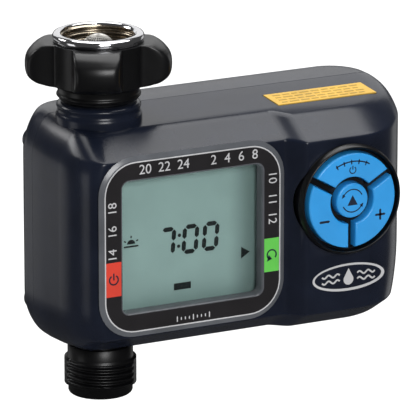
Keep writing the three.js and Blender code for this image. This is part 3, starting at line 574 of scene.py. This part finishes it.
def case_rear():
    """Rear shell: a well for the battery drawer and four bosses for the screws."""
    shell = case_half("case_rear", rear_plan, 0, SEAM_Y)
    low, high = TRAY_BOX.low, TRAY_BOX.high
    slack, wall, beyond = 0.5, 1.6, 40
    boss_r, head_room_r, shank_room_r, head_sink = 4.6, 3.4, 1.9, 2.4
    out, collar_foot = slack + wall, MID_Z + 40
    steps = [
        (ADD, collar_solid()),
        (CUT, case_half("hollow", rear_plan, WALL, SEAM_Y - 1)),
        (ADD, block(low.x - out, high.x + out, low.y - out, REAR_Y - 1, low.z - out, high.z + out)),
    ]
    for screw in COVER_SCREWS:
        place = (screw.mid.x, 0, screw.mid.z)
        steps.append((ADD, rod("y", place, boss_r, SEAM_Y, screw.high.y - 1)))
    steps += [
        (CUT, block(PAST_LEFT, PAST_RIGHT, PAST_FRONT, SEAM_Y + GAP / 2, collar_foot, PAST_HIGH)),
        (CUT, block(low.x - slack, high.x + slack, low.y - slack, beyond,
                    low.z - slack, high.z + slack)),
        (CUT, neck_hole()),
    ]
    for screw in COVER_SCREWS:
        place = (screw.mid.x, 0, screw.mid.z)
        steps.append((CUT, rod("y", place, head_room_r, screw.high.y - head_sink, beyond)))
        steps.append((CUT, rod("y", place, shank_room_r, 0, beyond)))
    carve(shell, *steps)
    finish_piece(shell, CASE, "case", ["rear_cover"], sharp=40)


def label_plate(name, margin, low, high):
    """Plate that follows the sloping top face; low and high are counted from that face."""
    x0, x1 = LABEL_BOX.low.x - margin, LABEL_BOX.high.x + margin
    levels = []
    for y in (LABEL_BOX.low.y - margin, LABEL_BOX.high.y + margin):
        levels.append((corners(x0, x1, top_face(y) + low, top_face(y) + high), y))
    return stack(name, levels)


def top_face(y):
    """Height of the case's top face at a depth y."""
    return MID_Z + HALF_HEIGHT - DRAFT * (SEAM_Y - y)


def top_label():
    label = label_plate("label", 0, -LABEL_RISE, LABEL_RISE)
    finish_piece(label, YELLOW, "case", ["top_label"])


def label_print():
    """Rows of small dashes that stand in for print on the label."""
    margin, space, half_width, shortest, spread = 2.5, 1.0, 0.45, 2.2, 1.5
    dashes = []
    for row, y in enumerate((-9.9, -7.3, -4.7, -2.1)):
        top = top_face(y) + LABEL_RISE
        x = LABEL_BOX.low.x + margin
        for i in range(9):
            length = shortest + spread * ((3 * i + 2 * row) % 4) / 3
            if x + length > LABEL_BOX.high.x - 2:
                break
            dashes.append(block(x, x + length, y - half_width, y + half_width, top - 0.1, top + 0.05))
            x += length + space
    finish_piece(merge("label_print", dashes), LABEL_INK, "case")


def cover_screw(index, box):
    """Pan head with a cross recess."""
    x, z, top = box.mid.x, box.mid.z, box.high.y
    shank_r, head_r, head_height = 1.5, 3, 2
    bar_length, bar_width, bar_depth = 1.7, 0.35, 1.1
    under = top - head_height
    profile = [(ON_AXIS, box.low.y), (shank_r, box.low.y), (shank_r, under), (head_r, under),
               (head_r, top - 0.7), (2.2, top), (ON_AXIS, top)]
    head = turned_solid(f"case_screw_{index}", rounded(profile, 0.3), 40, "y", (x, 0, z))
    bars = [(CUT, block(x - a, x + a, top - bar_depth, top + 1, z - b, z + b))
            for a, b in ((bar_length, bar_width), (bar_width, bar_length))]
    carve(head, *bars)
    finish_piece(head, STEEL, "case", [f"cover_screw_{index}"])


def battery_drawer():
    """Open tray with a rounded outer end and a finger recess."""
    low, high = TRAY_BOX.low, TRAY_BOX.high
    wall, end_wall = 1.6, 5
    drawer = plate("drawer", lambda inset: box_outline(TRAY_BOX, inset, 2.0), -high.y, -low.y, 0.6)
    for vertex in drawer.data.vertices:
        vertex.co.y = -vertex.co.y
    outward(drawer.data)
    carve(
        drawer,
        (CUT, block(low.x + wall, high.x - wall, low.y + wall, high.y - end_wall,
                    low.z + wall, high.z + 5)),
        (CUT, finger_recess(high.y)),
        (CUT, seal_groove(low, high)),
    )
    finish_piece(drawer, BLACK, "drawer", ["battery_tray"], sharp=35)


def finger_recess(back):
    x, z, w, h = TRAY_BOX.mid.x, TRAY_BOX.mid.z, 20, 9
    levels = []
    for depth, shrink in ((-1.0, -0.5), (0.2, 0.3), (1.4, 0.8), (1.8, 1.6)):
        levels.append((rounded_rectangle(x, z, w - 2 * shrink, h - 2 * shrink, 2.2, 6), back - depth))
    return stack("recess", levels)


def seal_groove(low, high):
    """Frame that cuts a groove all round the drawer, with room for its seal."""
    seal, depth, beyond = Box("tray_seal"), 1, 5
    y0, y1 = seal.low.y - GAP, seal.high.y + GAP
    outer = block(low.x - beyond, high.x + beyond, y0, y1, low.z - beyond, high.z + beyond)
    return carve(outer, (CUT, block(low.x + depth, high.x - depth, y0 - 1, y1 + 1,
                                    low.z + depth, high.z - depth)))


# ---- Display ------------


def window_outline(grow, corner_r=2.5):
    """Outline of the part of the window that shows, moved out by grow."""
    return box_outline(WINDOW_BOX, WINDOW_MARGIN - grow, corner_r + grow)


def display_bezel():
    """Raised frame that flares out to the case, with an opening and a rebate for the window."""
    front, base = PRINT_FRONT, FACE_Y - GAP
    skirt_inset, skirt_back = 2.3, -23.2
    rebate_grow, rebate_front, beyond = WINDOW_MARGIN + GAP, -25.5, -10
    levels = [(-0.9, front), (-0.35, front + 0.03), (0.0, front + 0.14), (0.35, front + 0.3),
              (BEZEL_FLARE, base - 0.15), (BEZEL_FLARE, base), (-skirt_inset, base),
              (-skirt_inset, skirt_back)]
    bezel = stack("bezel", [(bezel_outline(grow), y) for grow, y in levels])
    opening = [(0.5, -31), (0.5, front), (0.12, front + 0.45), (0, front + 1), (0, beyond)]
    rebate = [(rebate_grow, rebate_front), (rebate_grow, beyond)]
    carve(
        bezel,
        (CUT, stack("opening", [(window_outline(grow), y) for grow, y in opening])),
        (CUT, stack("rebate", [(window_outline(grow), y) for grow, y in rebate])),
    )
    finish_piece(bezel, BEZEL_LIT_GREY, "case", ["display_bezel"])


def flat_ring(name, outer, inner, front, back):
    """Thin plate between two outlines with the same number of points."""
    return tube(name, [[(a, front, b), (c, front, d), (c, back, d), (a, back, b)]
                       for (a, b), (c, d) in zip(outer, inner)])


def bezel_overlay():
    """Black printed panel round the window, with a fine pale line along its edge: a painted highlight
    where the bezel's rim catches the light.
    """
    panel = flat_ring("bezel_panel", bezel_outline(-OVERLAY_INSET), window_outline(0.75),
                      PRINT_FRONT - 0.02, PRINT_FRONT + 0.2)
    finish_piece(panel, OVERLAY, "case")
    # The pale line is a painted highlight: it stands in for light caught by the rim of the bezel.
    highlight_outside, highlight_inside = 0.4, 0.05
    line = flat_ring("bezel_edge_painted_highlight", bezel_outline(highlight_outside - OVERLAY_INSET),
                     bezel_outline(-highlight_inside - OVERLAY_INSET), PRINT_FRONT - 0.05, PRINT_FRONT + 0.1)
    finish_piece(line, PRINT, "case")


# The printed strip between the window and the panel's edge, to the left of the window.
STRIP_LEFT = BEZEL_BOX.low.x + BEZEL_FLARE + OVERLAY_INSET
STRIP_RIGHT = WINDOW_BOX.low.x + WINDOW_MARGIN


def patch(name, look, x0, x1, z0, z1):
    tile = plate(
        name, lambda inset: corners(x0 + inset, x1 - inset, z0 + inset, z1 - inset),
        PRINT_FRONT - 0.04, PRINT_FRONT + 0.1, edge=0.03, steps=1)
    finish_piece(tile, look, "case")


def mode_patches():
    """Red and green fields beside the window."""
    outside, inside = STRIP_LEFT + 0.1, STRIP_RIGHT - 0.8
    across = 2 * BEZEL_BOX.mid.x
    patch("patch_off", RED, outside, inside, -88.8, -76.2)
    patch("patch_auto", GREEN_INK, across - inside, across - outside, -88.0, -75.5)


def display_window():
    pane = plate("window", lambda inset: window_outline(WINDOW_MARGIN - inset, 0.7),
                 WINDOW_BOX.low.y, WINDOW_BOX.high.y, edge=0.2)
    finish_piece(pane, GLASS, "case", ["display_window"])


def lcd_face():
    face = plate("lcd", lambda inset: box_outline(LCD_BOX, inset, 0.8),
                 LCD_BOX.low.y, LCD_BOX.high.y, edge=0.15)
    finish_piece(face, LCD, "case", ["lcd_panel"])


SEGMENTS = {  # ends of each bar on a unit digit, 1 wide and 2 high
    "a": ((0, 2), (1, 2)), "b": ((1, 2), (1, 1)), "c": ((1, 1), (1, 0)), "d": ((0, 0), (1, 0)),
    "e": ((0, 0), (0, 1)), "f": ((0, 1), (0, 2)),
}
DIGITS = {"7": "abc", "0": "abcdef"}


def flat_shape(outline, front, thick=0.06):
    return stack(SHORT_LIVED, [(outline, front), (outline, front + thick)])


def bar(start, end, width, front, thick=0.06):
    """Bar with pointed ends between two (x, z) points."""
    a, b = Vector(start), Vector(end)
    along = (b - a).normalized()
    across = Vector((-along.y, along.x)) * width / 2
    tip = along * width / 2
    outline = [a, a + tip - across, b - tip - across, b, b - tip + across, a + tip + across]
    return flat_shape(outline, front, thick)


def disc(x, z, radius, front):
    steps = 28
    return flat_shape(arc(x, z, radius, radius, 0, 360 - 360 / steps, steps - 1), front)


def lcd_marks():
    """The time, a small sun, an arrow towards the green field and a bar at the bottom."""
    front = LCD_BOX.low.y - 0.05
    parts = []
    width, height, base, slant, bar_width, shrink = 4.9, 9.2, -78.9, 0.08, 1.65, 0.05
    for x, digit in zip((12.8, 22.0, 30.1), "700"):
        for letter in DIGITS[digit]:
            start, end = (Vector(point) for point in SEGMENTS[letter])
            ends = []
            for u, v in (start.lerp(end, shrink), end.lerp(start, shrink)):
                ends.append((x + u * width + v * height / 2 * slant, base + 0.5 + v * height / 2))
            parts.append(bar(*ends, bar_width, front))
    for z in (base + 3.0, base + 7.0):
        parts.append(disc(19.9 + slant * (z - base), z, 0.65, front))
    parts.append(flat_shape(corners(18.2, 25.0, -92.1, -89.6), front))
    parts.append(flat_shape([(45.2, -83.9), (48.7, -81.7), (45.2, -79.5)], front))
    sun_x, sun_z = 1.3, -72.6  # a small sun over a line marks the morning
    parts.append(bar((sun_x - 3.0, sun_z - 0.9), (sun_x + 3.0, sun_z - 0.9), 0.6, front))
    parts.append(flat_shape(arc(sun_x, sun_z, 1.6, 1.6, 0, 180, 14), front))
    for degrees in (25, 90, 155):
        ends = [polar(sun_x, sun_z, radius, degrees) for radius in (2.1, 3.2)]
        parts.append(bar(*ends, 0.5, front))
    finish_piece(merge("lcd_marks", parts), SEGMENT, "case")


# ---- Generic print ------------


def number(text, x, z, height, turn=0):
    """Solid digits on the bezel face, centred on (x, z) and turned clockwise in degrees."""
    curve = bpy.data.curves.new("digits", "FONT")
    curve.body = text
    curve.align_x, curve.align_y = "CENTER", "CENTER"
    curve.size = height * 1.38 * MM
    curve.extrude = 0.05 * MM
    spot = add_object("digits", curve)
    bpy.context.view_layer.update()
    mesh = bpy.data.meshes.new_from_object(spot.evaluated_get(bpy.context.evaluated_depsgraph_get()))
    bpy.data.objects.remove(spot)
    lie = Matrix.Translation(Vector((x, PRINT_FRONT - 0.04, z)) * MM)
    lie = lie @ Matrix.Rotation(radians(turn), 4, "Y") @ Matrix.Rotation(pi / 2, 4, "X")
    mesh.transform(lie)
    return add_object("digits", mesh)


def hour_scale():
    """Hour numbers round the window, as on a clock face, and a row of ticks below it."""
    top, bottom, side = -43.7, -100.5, 31.2
    centre = BEZEL_BOX.mid.x
    parts = []
    for x, text in ((3.5, "20"), (11, "22"), (18.5, "24"), (30.5, "2"), (36, "4"), (41.5, "6"), (47, "8")):
        parts.append(number(text, x, top, 3.6))
    for z, text in ((-56.5, "18"), (-65.0, "16"), (-73.5, "14")):
        parts.append(number(text, centre - side - 0.5, z, 3.4, -90))
    for z, text in ((-53.0, "10"), (-61.0, "11"), (-68.0, "12")):
        parts.append(number(text, centre + side + 0.4, z, 3.4, 90))
    for i in range(9):
        x = centre - 6.4 + 1.6 * i
        reach = 1.1 if i % 4 == 0 else 0.6
        parts.append(bar((x, bottom - reach), (x, bottom + reach), 0.4, PRINT_FRONT - 0.05, 0.1))
    finish_piece(merge("hour_print", parts), PRINT, "case")


def stroke(points, width, front, thick=0.08):
    """Line of even width through (x, z) points."""
    line = [Vector(p) for p in points]
    left, right = [], []
    for i, point in enumerate(line):
        before, after = line[max(i - 1, 0)], line[min(i + 1, len(line) - 1)]
        along = (after - before).normalized()
        side = Vector((-along.y, along.x)) * width / 2
        left.append(point + side)
        right.append(point - side)
    return flat_shape(left + right[::-1], front, thick)


def patch_marks():
    """On-off sign on the red field and a turning arrow on the green one."""
    front, width = PRINT_FRONT - 0.07, 0.55
    x = (STRIP_LEFT + STRIP_RIGHT - 0.7) / 2
    off = [stroke(arc(x, -82.6, 1.7, 1.7, 120, 420, 24), width, front),
           bar((x, -82.8), (x, -80.0), width, front)]
    x = 2 * BEZEL_BOX.mid.x - x
    auto = [stroke(arc(x, -81.7, 1.8, 1.8, -40, 250, 24), width, front),
            flat_shape([(x - 1.9, -84.1), (x + 0.2, -83.3), (x - 1.2, -81.6)], front, 0.08)]
    finish_piece(merge("mode_marks", off + auto), DARK_INK, "case")


def badge():
    """Oval with a water drop between two pairs of waves."""
    box, thick = Box("front_badge"), 0.12
    x, z, front = box.mid.x, box.mid.z, box.low.y
    rx, rz = box.size.x / 2, box.size.z / 2
    base = plate("badge_plate", lambda inset: oval(x, z, rx - inset, rz - inset),
                 front + 0.08, box.high.y, edge=0.1, steps=2)
    finish_piece(base, CASE, "case", ["front_badge"])
    parts = [
        flat_ring("ring", oval(x, z, rx - 0.1, rz - 0.1), oval(x - 0.2, z + 0.1, rx - 1.15, rz - 0.95),
                  front, front + thick),
        flat_shape([(x, z + 3.3)] + arc(x, z - 0.9, 2, 2, 35, -215, 28), front, thick)]
    start, length, rise = 3.6, 7.2, 0.55
    for side in (-1, 1):
        for shift in (-1.1, 1.1):
            wave = [(x + side * (start + length * i / 20), z + shift + rise * sin(TAU * i / 10))
                    for i in range(21)]
            parts.append(stroke(wave, 0.62, front, thick))
    finish_piece(merge("badge_print", parts), PRINT, "case")


# ---- Keypad ------------


def sector(degrees, inner, outer, side):
    """One third of a ring, its straight sides set back from the spokes."""
    steps = 16
    outer_half = 60 - in_degrees(asin(side / outer))
    inner_half = 60 - in_degrees(asin(side / inner))
    return (arc(PAD_X, PAD_Z, outer, outer, degrees - outer_half, degrees + outer_half, steps)
            + arc(PAD_X, PAD_Z, inner, inner, degrees + inner_half, degrees - inner_half, steps))


def keypad_ring():
    """Round surround with a sunk floor, its spokes and the holes for the keys."""
    centre = (PAD_X, 0, PAD_Z)
    rim, front, floor_front, floor_back = PAD_BOX.size.x / 2, PAD_BOX.low.y, -35.2, -33.4
    profile = [
        (ON_AXIS, floor_front), (18.6, floor_front), (18.9, -35.6), (19.0, front + 0.35), (19.3, front),
        (19.6, front), (20.0, front + 0.5), (rim, -36), (rim, -35), (19.7, -35), (19.7, -31), (18.7, -31),
        (18.7, floor_back), (ON_AXIS, floor_back)]
    ring = turned_solid("keypad", rounded(profile, 0.25, 2), 120, "y", centre)
    through = (-40, -30)
    tools = []
    for degrees in KEY_ANGLES.values():
        hole = sector(degrees, KEY_INNER - KEY_SLACK, KEY_OUTER + KEY_SLACK, KEY_SIDE - KEY_SLACK)
        tools.append((CUT, stack("hole", [(hole, y) for y in through])))
    tools.append((CUT, rod("y", centre, KEY_CENTRE + KEY_SLACK, *through, 64)))
    carve(ring, *tools)
    finish_piece(ring, BLACK, "case", ["keypad_surround"])


def key_body(name, outline, place, box):
    """Key with a rounded crown, a hidden flange and a stem."""
    flange_reach, flange_thick, stem_r = 0.75, 1, 1.8
    top = plate(name, outline, box.low.y, FLANGE_FRONT, edge=0.8, steps=6)
    flange = stack("flange", [(outline(-flange_reach), FLANGE_FRONT + y) for y in (0, flange_thick)])
    stem = rod("y", place, stem_r, FLANGE_FRONT + 0.5, box.high.y, 24)
    return carve(top, (ADD, flange), (ADD, stem))


def sector_keys():
    for node, degrees in KEY_ANGLES.items():
        x, z = polar(PAD_X, PAD_Z, KEY_REACH, degrees)
        key = key_body(
            node.replace("key_", "button_"),
            lambda inset: sector(degrees, KEY_INNER + inset, KEY_OUTER - inset, KEY_SIDE + inset),
            (x, 0, z), Box(node))
        finish_piece(key, BLUE, body_of(node), [node])


def select_button():
    key = key_body(
        "button_select", lambda inset: oval(PAD_X, PAD_Z, KEY_CENTRE - inset, KEY_CENTRE - inset),
        (PAD_X, 0, PAD_Z), Box("key_select"))
    finish_piece(key, BLUE, "select_key", ["key_select"])


def key_marks():
    """Dark signs on the keys: minus, plus, a triangle in a turning arrow, and an on-off sign."""
    x, z, half = PAD_X, PAD_Z, 2.2
    top, thick = Box("key_plus").low.y - 0.001, 0.1
    px, pz = polar(x, z, KEY_REACH, KEY_ANGLES["key_minus"])
    minus = [bar((px - half, pz), (px + half, pz), 0.9, top, thick)]
    finish_piece(merge("mark_minus", minus), DARK_INK, "minus_key")
    px, pz = polar(x, z, KEY_REACH, KEY_ANGLES["key_plus"])
    plus = [bar((px - half, pz), (px + half, pz), 0.85, top, thick),
            bar((px, pz - half), (px, pz + half), 0.85, top, thick)]
    finish_piece(merge("mark_plus", plus), DARK_INK, "plus_key")
    select = [flat_shape([(x - 2.1, z - 1.7), (x + 2.1, z - 1.7), (x, z + 2.1)], top, thick)]
    for start, side in ((25, -1), (205, 1)):
        tip = [(x + side * u, z - side * v) for u, v in ((4.4, 1.2), (2.9, 1.9), (4.0, 2.9))]
        select.append(stroke(arc(x, z, 4.2, 4.2, start, start + 125, 20), 0.45, top, thick))
        select.append(flat_shape(tip, top, thick))
    finish_piece(merge("mark_select", select), DARK_INK, "select_key")
    manual = [stroke(arc(x, z, 14.6, 14.6, 118, 62, 24), 0.5, top, thick)]
    for degrees in range(116, 60, -12):
        ends = [polar(x, z, radius, degrees) for radius in (13.4, 15.4)]
        manual.append(bar(*ends, 0.5, top, thick))
    sign_z = z + 11.4
    manual.append(stroke(arc(x, sign_z, 1.25, 1.25, 125, 415, 20), 0.42, top, thick))
    manual.append(bar((x, sign_z), (x, sign_z + 1.7), 0.42, top, thick))
    finish_piece(merge("mark_manual", manual), DARK_INK, "manual_key")


# ---- Swivel inlet ------------


def lobe_radius(angle):
    """Outline of the knob: four broad lobes with rounded valleys between them."""
    wave = cos(KNOB_LOBES * (angle - LOBE_TURN))
    return KNOB_VALLEY + (KNOB_TIP - KNOB_VALLEY) * smooth_step((wave + 0.6) / 1.2)


def softly_least(a, b, blend):
    """The lesser of two radii, rounded off where they cross."""
    mix = max(0.0, blend - abs(a - b)) / blend
    return min(a, b) - mix * mix * blend / 4


def swivel_knob():
    """Turned wall whose outside is held in by the lobed outline, except at the skirt below."""
    box = Box("swivel_knob")
    top, bottom = box.high.z, box.low.z
    mouth_r, under = 15.2, -18.5
    wall = rounded([
        (15.3, top), (20.6, top), (23.4, -4.9), (25.5, -7.4), (KNOB_TIP, -9.7), (KNOB_TIP, -12.7),
        (25.6, -15.1), (23.4, -16.8), (19.4, -18.0), (15.4, -18.6), (14.6, -19.3), (14.6, -21.5),
        (15.1, -22.1), (15.1, -22.7), (14.4, -23.2), (14.2, bottom)], 1.2, 4)
    inner = [(NECK_HOLE_R + 0.1, bottom), (NECK_HOLE_R + 0.1, -15.6), (15.3, -15.6)]

    def section(angle):
        lobe = lobe_radius(angle)
        outer = [(softly_least(r, lobe, 1.4) if r > mouth_r and z > under else r, z) for r, z in wall[1:]]
        return [wall[0]] + outer + inner

    knob = turned("knob", section, 240)
    finish_piece(knob, BLACK, "swivel", ["swivel_knob"], sharp=50)


def thread_height(angle, z):
    """0 to 1 tooth height of a helical thread."""
    phase = (z / THREAD_PITCH + angle / TAU) % 1
    return smooth_step(1.25 - abs(phase - 0.5) * 2 * 1.45)


def swivel_ring():
    """Chromed ring with a bare brassy thread inside."""
    crest, root, start, depth, steps = 12.9, 13.7, -0.9, 9.4, 56
    heights = [start - depth * i / steps for i in range(steps + 1)]

    def section(angle):
        grooves = [(root - (root - crest) * thread_height(angle, z), z) for z in heights]
        rim = [(13.5, -0.25), (13.8, 0), (15.2, 0), (15.9, -0.3), (16.3, -0.9), (16.35, -1.6),
               (16.3, -2.4), (16.1, -2.8), (15, -2.8)]
        return rim + [(15, -15.3), (13.3, -15.3), (13.3, -10.5)] + grooves[::-1]

    ring = turned("inlet_ring", section, 144)
    finish_piece(ring, CHROME, "swivel", ["swivel_ring"], sharp=40)
    ring.data.materials.append(BRASSY)
    for face in ring.data.polygons:
        centre = face.center / MM
        if hypot(centre.x, centre.y) < root + 0.05 and centre.z < start + 0.2:
            face.material_index = 1


def inlet_washer():
    profile = rounded([(7, -9.7), (7.3, -9.5), (12.2, -9.5), (12.5, -9.8), (12.5, -12.6), (9.6, -12.6),
                       (9.6, -11.3), (7, -11.3)], 0.25, 2)
    washer = turned("washer", lambda angle: profile, 96)
    finish_piece(washer, RUBBER, body_of("inlet_washer"), ["inlet_washer"])


WIRE_ANGLES = [TAU * k / 6 for k in range(6)]


def strainer():
    """Domed wire cloth: rings and ribs of round wire over a rim, and a dark dome inside that is painted
    shade, standing in for the dark seen through the wire.
    """
    base, radius, wire, levels, ribs = -7.0, 6.1, 0.16, 9, 14
    parts = [turned("rim", lambda angle: [(5.7, -11.6), (9.2, -11.6), (9.2, -12.5), (5.7, -12.5)], 64),
             turned("wall", lambda angle: [(6.3, -6.9), (6.3, -11.7), (5.8, -11.7), (5.8, -6.9)], 64)]
    for level in range(levels):
        r, z = polar(0, base, radius, 88 * (level + 0.5) / levels)
        loop = [(r + wire * cos(t), z + wire * sin(t)) for t in WIRE_ANGLES]
        parts.append(turned("loop", lambda angle: loop, 56))
    for rib in range(ribs):
        parts.append(rib_wire(pi * rib / ribs, radius, base, wire))
    body = body_of("filter_screen")
    finish_piece(merge("strainer", parts), MESH_WIRE, body, ["filter_screen"])
    # The dark dome inside the wire is painted shade, in place of the gloom behind the cloth.
    inner = radius - 0.4
    dome = [(r + ON_AXIS, z) for r, z in arc(0, base, inner, inner, 0, 89.5, 10)]
    finish_piece(turned_solid("strainer_painted_shade_core", dome, 56), OUTLET, body)


def rib_wire(turn, radius, base, wire):
    """Round wire that arches right over the dome."""
    rings, steps = [], 24
    level, side = Vector((cos(turn), sin(turn), 0)), Vector((-sin(turn), cos(turn), 0))
    for i in range(steps + 1):
        rise = pi * i / steps
        out = level * cos(rise) + Vector((0, 0, sin(rise)))
        middle = Vector((0, 0, base)) + out * radius
        rings.append([middle + (out * cos(t) + side * sin(t)) * wire for t in WIRE_ANGLES])
    return loft("rib", rings)


# ---- Outlet ------------


def outlet():
    """Neck with a groove for its seal, a flange, and the male thread with a plain tip."""
    box = Box("outlet_fitting")
    tip, top = box.low.z, box.high.z
    crest, root, flange = box.size.x / 2 * 0.998, 12.3, 11.85
    start, end, steps = -120.3, -129.6, 64
    heights = [start + (end - start) * i / steps for i in range(steps + 1)]
    land_half, land_fade = radians(22), radians(9)

    def land(angle):
        """1 on the two flattened lands along the mould's parting line."""
        off = abs((angle - LOBE_TURN + pi / 2) % pi - pi / 2)
        return 1 - smooth_step((off - land_half) / land_fade)

    def section(angle):
        flat = land(angle)
        teeth = []
        for z in heights:
            fade = smooth_step((start - z) / 1.2) * smooth_step((z - end) / 1.2)
            tooth = root + (crest - root) * thread_height(angle, z) * fade
            teeth.append((tooth + (crest - 0.45 - tooth) * flat, z))
        return neck + teeth + end_and_bore

    neck = [(6.2, top), (7.9, top), (7.9, top - 2), (7, top - 2), (7, top - 4), (7.9, top - 4),
            (7.9, -111.3), (10.2, -111.3), (10.2, -115.1), (11.6, -115.1), (flange, -115.35),
            (flange, -119.4), (12.0, -119.9)]
    end_and_bore = [(11.9, -130), (11.65, -130.4), (11.65, tip + 1), (11.4, tip + 0.4), (10.9, tip),
                    (8.9, tip), (8.5, tip + 0.4), (8.5, -117), (6.2, -114.5)]

    fitting = turned("outlet", section, 200)
    finish_piece(fitting, OUTLET, "case", ["outlet_fitting"], sharp=45)


# ---- CAD nodes that stay ------------

KEPT_LOOKS = {  # what the names of the nodes start with
    RUBBER: ("case_seal", "outlet_seal", "tray_seal", "diaphragm", "valve_disc", "coil_lead"),
    STEEL: ("valve_spring", "plunger_spring", "battery_spring", "solenoid_yoke", "solenoid_plunger",
            "solenoid_stop", "board_screw", "bonnet_screw"),
    BRASS: ("battery_link", "battery_plate", "bay_pin"),
    VALVE: ("valve_body", "valve_bonnet"),
    BOARD: ("circuit_board",), BLACK: ("swivel_retainer",), OUTLET: ("switch",),
    COPPER: ("solenoid_coil",), CELL: ("battery_cell",),
}


def paint_kept_nodes():
    for name, node in frame["nodes"].items():
        if not node.hide_render:
            look = next(look for look, starts in KEPT_LOOKS.items() if name.startswith(starts))
            node.data.materials.clear()
            node.data.materials.append(look)


# ---- Stage ------------

CAMERA_TURN, CAMERA_RISE = radians(-27.1), radians(16.1)
CAMERA_DISTANCE, CAMERA_RIGHT, CAMERA_UP = 1769.0, 39.53, -63.155
SENSOR, LENS = 36.0, 3000 / 7


def camera():
    c, s = cos(CAMERA_TURN), sin(CAMERA_TURN)
    right = Vector((c, s, 0))
    back = Vector((s * cos(CAMERA_RISE), -c * cos(CAMERA_RISE), sin(CAMERA_RISE)))
    up = back.cross(right)
    data = bpy.data.cameras.new("camera")
    data.sensor_width = SENSOR
    data.lens = LENS
    data.clip_start, data.clip_end = 0.05, 50
    eye = add_object("camera", data)
    spot = (right * CAMERA_RIGHT + up * CAMERA_UP + back * CAMERA_DISTANCE) * MM
    eye.matrix_world = Matrix.Translation(spot) @ Matrix((right, up, back)).transposed().to_4x4()
    bpy.context.scene.camera = eye


def soft_light(name, place, target, size, power, lit):
    """Soft box that shines only on what the collection lit lets it."""
    data = bpy.data.lights.new(name, "AREA")
    data.shape, data.size, data.size_y, data.energy = "RECTANGLE", size[0], size[1], power
    lamp = add_object(name, data)
    lamp.location = place
    lamp.rotation_euler = (Vector(place) - Vector(target)).to_track_quat("Z", "Y").to_euler()
    lamp.light_linking.receiver_collection = lit


LIGHTS = [  # name, place and size in metres, power in watts
    ("overhead", (0.3, 0.15, 1.15), (1.7, 1.1), 26),
    ("front_key", (-0.25, -1.6, 0.6), (0.7, 0.7), 21),
    ("rear_box", (0.9, 2.0, 0.75), (2.6, 1.2), 9),
    ("rear_key", (-1.1, 1.3, 0.9), (0.6, 0.6), 9),
    ("left_low", (-0.5, 1.05, -0.3), (0.7, 0.35), 0.42),
    ("left_card", (-1.35, 0.17, -0.25), (0.5, 0.5), 1.0),
    ("right_low", (1.3, 0.65, -0.25), (0.5, 0.8), 0.7),
]
LIT_SPOT = (0.05, 0, -0.07)
FLOOR_SPOT = (0.4, 0.7, 0)
WORLD_STRENGTH = 0.06


def studio():
    """Soft boxes round the object; the floor has a box of its own, so that it stays pale."""
    ground = floor()
    floor_only, all_but_floor = (bpy.data.collections.new(n) for n in ("floor_only", "all_but_floor"))
    for group, state in ((floor_only, "INCLUDE"), (all_but_floor, "EXCLUDE")):
        group.objects.link(ground)
        group.collection_objects[0].light_linking.link_state = state
    for name, place, size, power in LIGHTS:
        soft_light(name, place, LIT_SPOT, size, power, all_but_floor)
    soft_light("floor_light", (0.4, 0.7, 1.5), FLOOR_SPOT, (7, 7), 270, floor_only)
    world = bpy.data.worlds.new("studio")
    world.use_nodes = True
    set_inputs(world.node_tree.nodes["Background"], Color=(1, 1, 1, 1), Strength=WORLD_STRENGTH)
    bpy.context.scene.world = world
    bpy.context.scene.view_settings.view_transform = "Standard"


def floor():
    """Wide round slab below the part, which hangs free."""
    height, thick, reach = -520, 5, 9000
    ground = turned_solid("floor", [(reach, height - thick), (reach, height)], 64)
    ground.data.materials.append(surface("floor_white", (0.88, 0.88, 0.88), 0.9, tint=0.01, bump=0.0))
    ground.visible_glossy = False  # as a dark cloth would, this keeps the black plastics black
    return ground


# ---- Build ------------

camera()
studio()
case_front()
case_rear()
top_label()
label_print()
for index, screw_box in enumerate(COVER_SCREWS, 1):
    cover_screw(index, screw_box)
battery_drawer()
display_bezel()
bezel_overlay()
mode_patches()
patch_marks()
hour_scale()
display_window()
lcd_face()
lcd_marks()
badge()
keypad_ring()
sector_keys()
select_button()
key_marks()
swivel_knob()
swivel_ring()
inlet_washer()
strainer()
outlet()
paint_kept_nodes()
